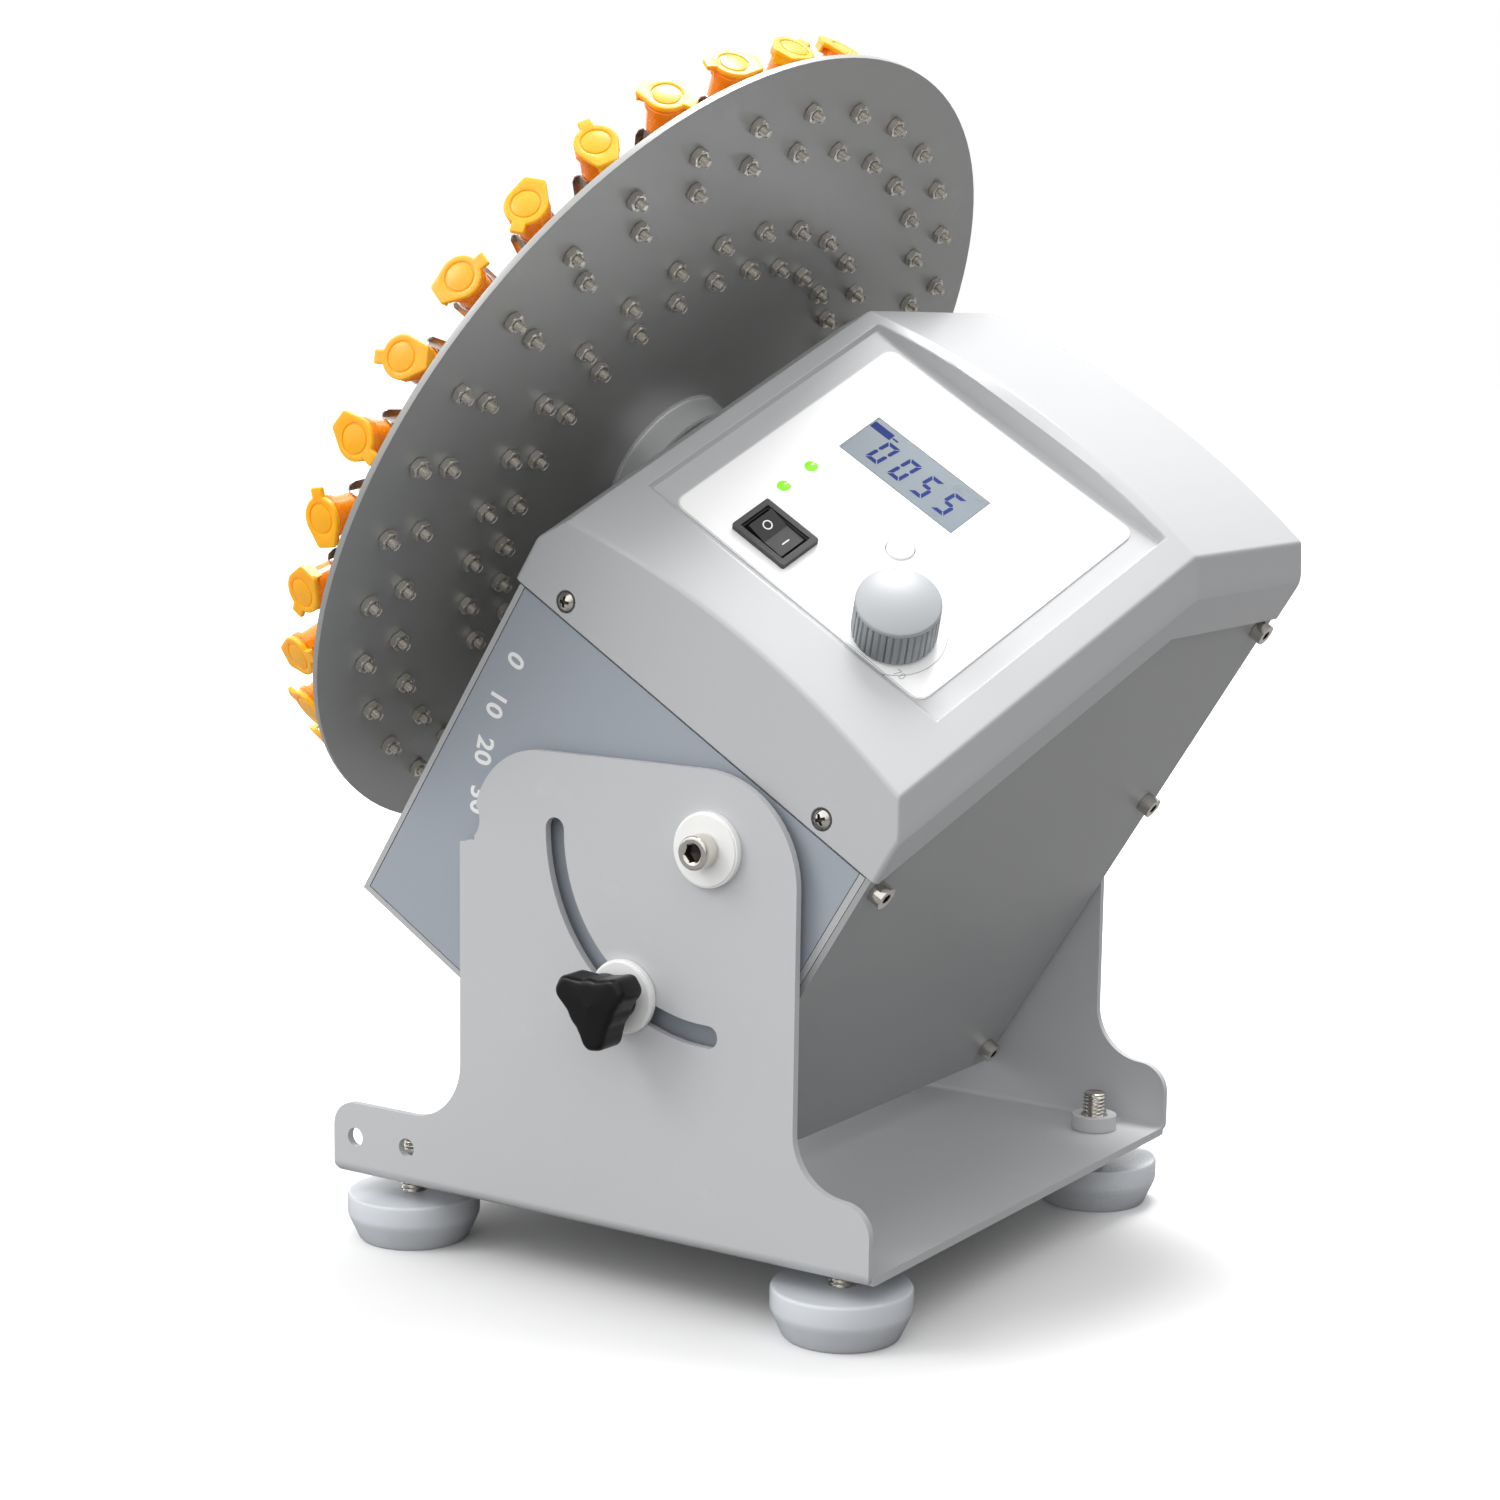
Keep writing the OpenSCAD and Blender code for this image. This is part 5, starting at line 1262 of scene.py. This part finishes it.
# angle scale on the near side panel; plane x right = +u, y up = +v, z out = -y
SIDE = H @ Matrix(((1, 0, 0, 0), (0, 0, -1, -HW), (0, 1, 0, 0), (0, 0, 0, 1)))
for nmb in range(0, 100, 10):
    a = math.radians(nmb - 1.15)
    o = (-88.2*math.cos(a), -88.2*math.sin(a))
    text_piece(str(nmb), 8.5, SIDE, o, (math.sin(a), -math.cos(a)), (math.cos(a), math.sin(a)), 0.0, 0.05, M["ink_white"], "angle_%02d" % nmb, "head", 1.05, True, 0.22)

# rocker marks: ring on the raised half, bar on the pressed half
RK = S @ Matrix.Translation((-49.5, 41.3, -1.4)) @ Matrix.Rotation(math.radians(9), 4, 'Y')


def on_paddle(x):
    return 3.4 - (6.9 - abs(x))*0.9/6.9


tl = math.atan2(0.9, 6.9)
mo = RK @ Matrix.Translation((-3.7, 0, on_paddle(-3.7))) @ Matrix.Rotation(tl, 4, 'Y')
v, f = strip_mesh([(1.35*math.cos(a), 1.35*math.sin(a)) for a in np.linspace(0, 2*math.pi, 40, endpoint=False)], 0.42, -0.02, 0.03, True)
ob = add_mesh("mark_off", v, f, M["ink_white"], mo, False, merge=0.0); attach(ob, "rocker")
mi = RK @ Matrix.Translation((3.9, 0, on_paddle(3.9))) @ Matrix.Rotation(-tl, 4, 'Y')
v, f = prism(rrect(-0.22, -1.45, 0.22, 1.45, 0.1, 1), -0.02, 0.03)
ob = add_mesh("mark_on", v, f, M["ink_white"], mi, False, merge=0.0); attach(ob, "rocker")


# ------------------------------------------------------------------ stage and light
def put_stage():
    bm = bmesh.new()
    bmesh.ops.create_grid(bm, x_segments=24, y_segments=24, size=14.0)
    me = bpy.data.meshes.new("floor")
    bm.to_mesh(me); bm.free()
    ob = bpy.data.objects.new("floor", me)
    m = material("floor_white", (0.90, 0.90, 0.90, 1), 0.9, 0, 0.003, 0.02, 0.0, 60, 2, spec=0.2)
    nt = m.node_tree
    bs = next(n for n in nt.nodes if n.type == 'BSDF_PRINCIPLED')
    tc = next(n for n in nt.nodes if n.type == 'TEX_COORD')
    ln = nt.nodes.new("ShaderNodeVectorMath"); ln.operation = 'LENGTH'
    mr = nt.nodes.new("ShaderNodeMapRange"); mr.interpolation_type = 'SMOOTHSTEP'
    mr.inputs[1].default_value = FLOOR_R0; mr.inputs[2].default_value = FLOOR_R1
    mr.inputs[3].default_value = 0.0; mr.inputs[4].default_value = FLOOR_GLOW
    nt.links.new(tc.outputs["Object"], ln.inputs[0])
    nt.links.new(ln.outputs["Value"], mr.inputs[0])
    nt.links.new(mr.outputs[0], bs.inputs["Emission Strength"])
    bs.inputs["Emission Color"].default_value = (1, 1, 1, 1)
    lp = nt.nodes.new("ShaderNodeLightPath")
    dim = nt.nodes.new("ShaderNodeBsdfDiffuse"); dim.inputs[0].default_value = (BOUNCE, BOUNCE, BOUNCE, 1)
    mix = nt.nodes.new("ShaderNodeMixShader")
    out = next(n for n in nt.nodes if n.type == 'OUTPUT_MATERIAL')
    nt.links.new(lp.outputs["Is Camera Ray"], mix.inputs[0])
    nt.links.new(dim.outputs[0], mix.inputs[1])
    nt.links.new(bs.outputs[0], mix.inputs[2])
    nt.links.new(mix.outputs[0], out.inputs[0])
    me.materials.append(m)
    sc.collection.objects.link(ob)


def area(name, loc, target, size, power, color=(1, 1, 1), size_y=None):
    l = bpy.data.lights.new(name, 'AREA')
    l.energy = power
    l.size = size
    if size_y:
        l.shape = 'RECTANGLE'; l.size_y = size_y
    l.color = color
    ob = bpy.data.objects.new(name, l)
    d = Vector(target) - Vector(loc)
    ob.location = loc
    ob.rotation_euler = d.to_track_quat('-Z', 'Y').to_euler()
    sc.collection.objects.link(ob)
    return ob


def sky(direction, lo, hi, s_lo, s_hi):
    w = bpy.data.worlds.new("world"); sc.world = w; w.use_nodes = True
    nt = w.node_tree
    bg = nt.nodes["Background"]
    tc = nt.nodes.new("ShaderNodeTexCoord")
    dot = nt.nodes.new("ShaderNodeVectorMath"); dot.operation = 'DOT_PRODUCT'
    dot.inputs[1].default_value = Vector(direction).normalized()
    mr = nt.nodes.new("ShaderNodeMapRange"); mr.interpolation_type = 'SMOOTHSTEP'
    mr.inputs[1].default_value = lo; mr.inputs[2].default_value = hi
    mr.inputs[3].default_value = s_lo; mr.inputs[4].default_value = s_hi
    nt.links.new(tc.outputs["Generated"], dot.inputs[0])
    nt.links.new(dot.outputs["Value"], mr.inputs[0])
    lp = nt.nodes.new("ShaderNodeLightPath")
    seen = nt.nodes.new("ShaderNodeMath"); seen.operation = 'MAXIMUM'
    nt.links.new(lp.outputs["Is Camera Ray"], seen.inputs[0])
    nt.links.new(mr.outputs[0], seen.inputs[1])
    nt.links.new(seen.outputs[0], bg.inputs[1])
    bg.inputs[0].default_value = (1, 1, 1, 1)


FLOOR_R0, FLOOR_R1, FLOOR_GLOW, BOUNCE = 0.30, 0.80, 0.45, 0.24
put_stage()
sky((-0.62, -0.28, 0.68), -0.75, 0.50, 0.06, 1.32)
area("top", (-0.10, 0.45, 2.0), (0, 0, 0.1), 0.7, 33)
area("key", (-1.2, -1.5, 1.7), (0, 0, 0.2), 0.9, 14)

sc.view_settings.view_transform = 'Standard'
sc.view_settings.look = 'None'
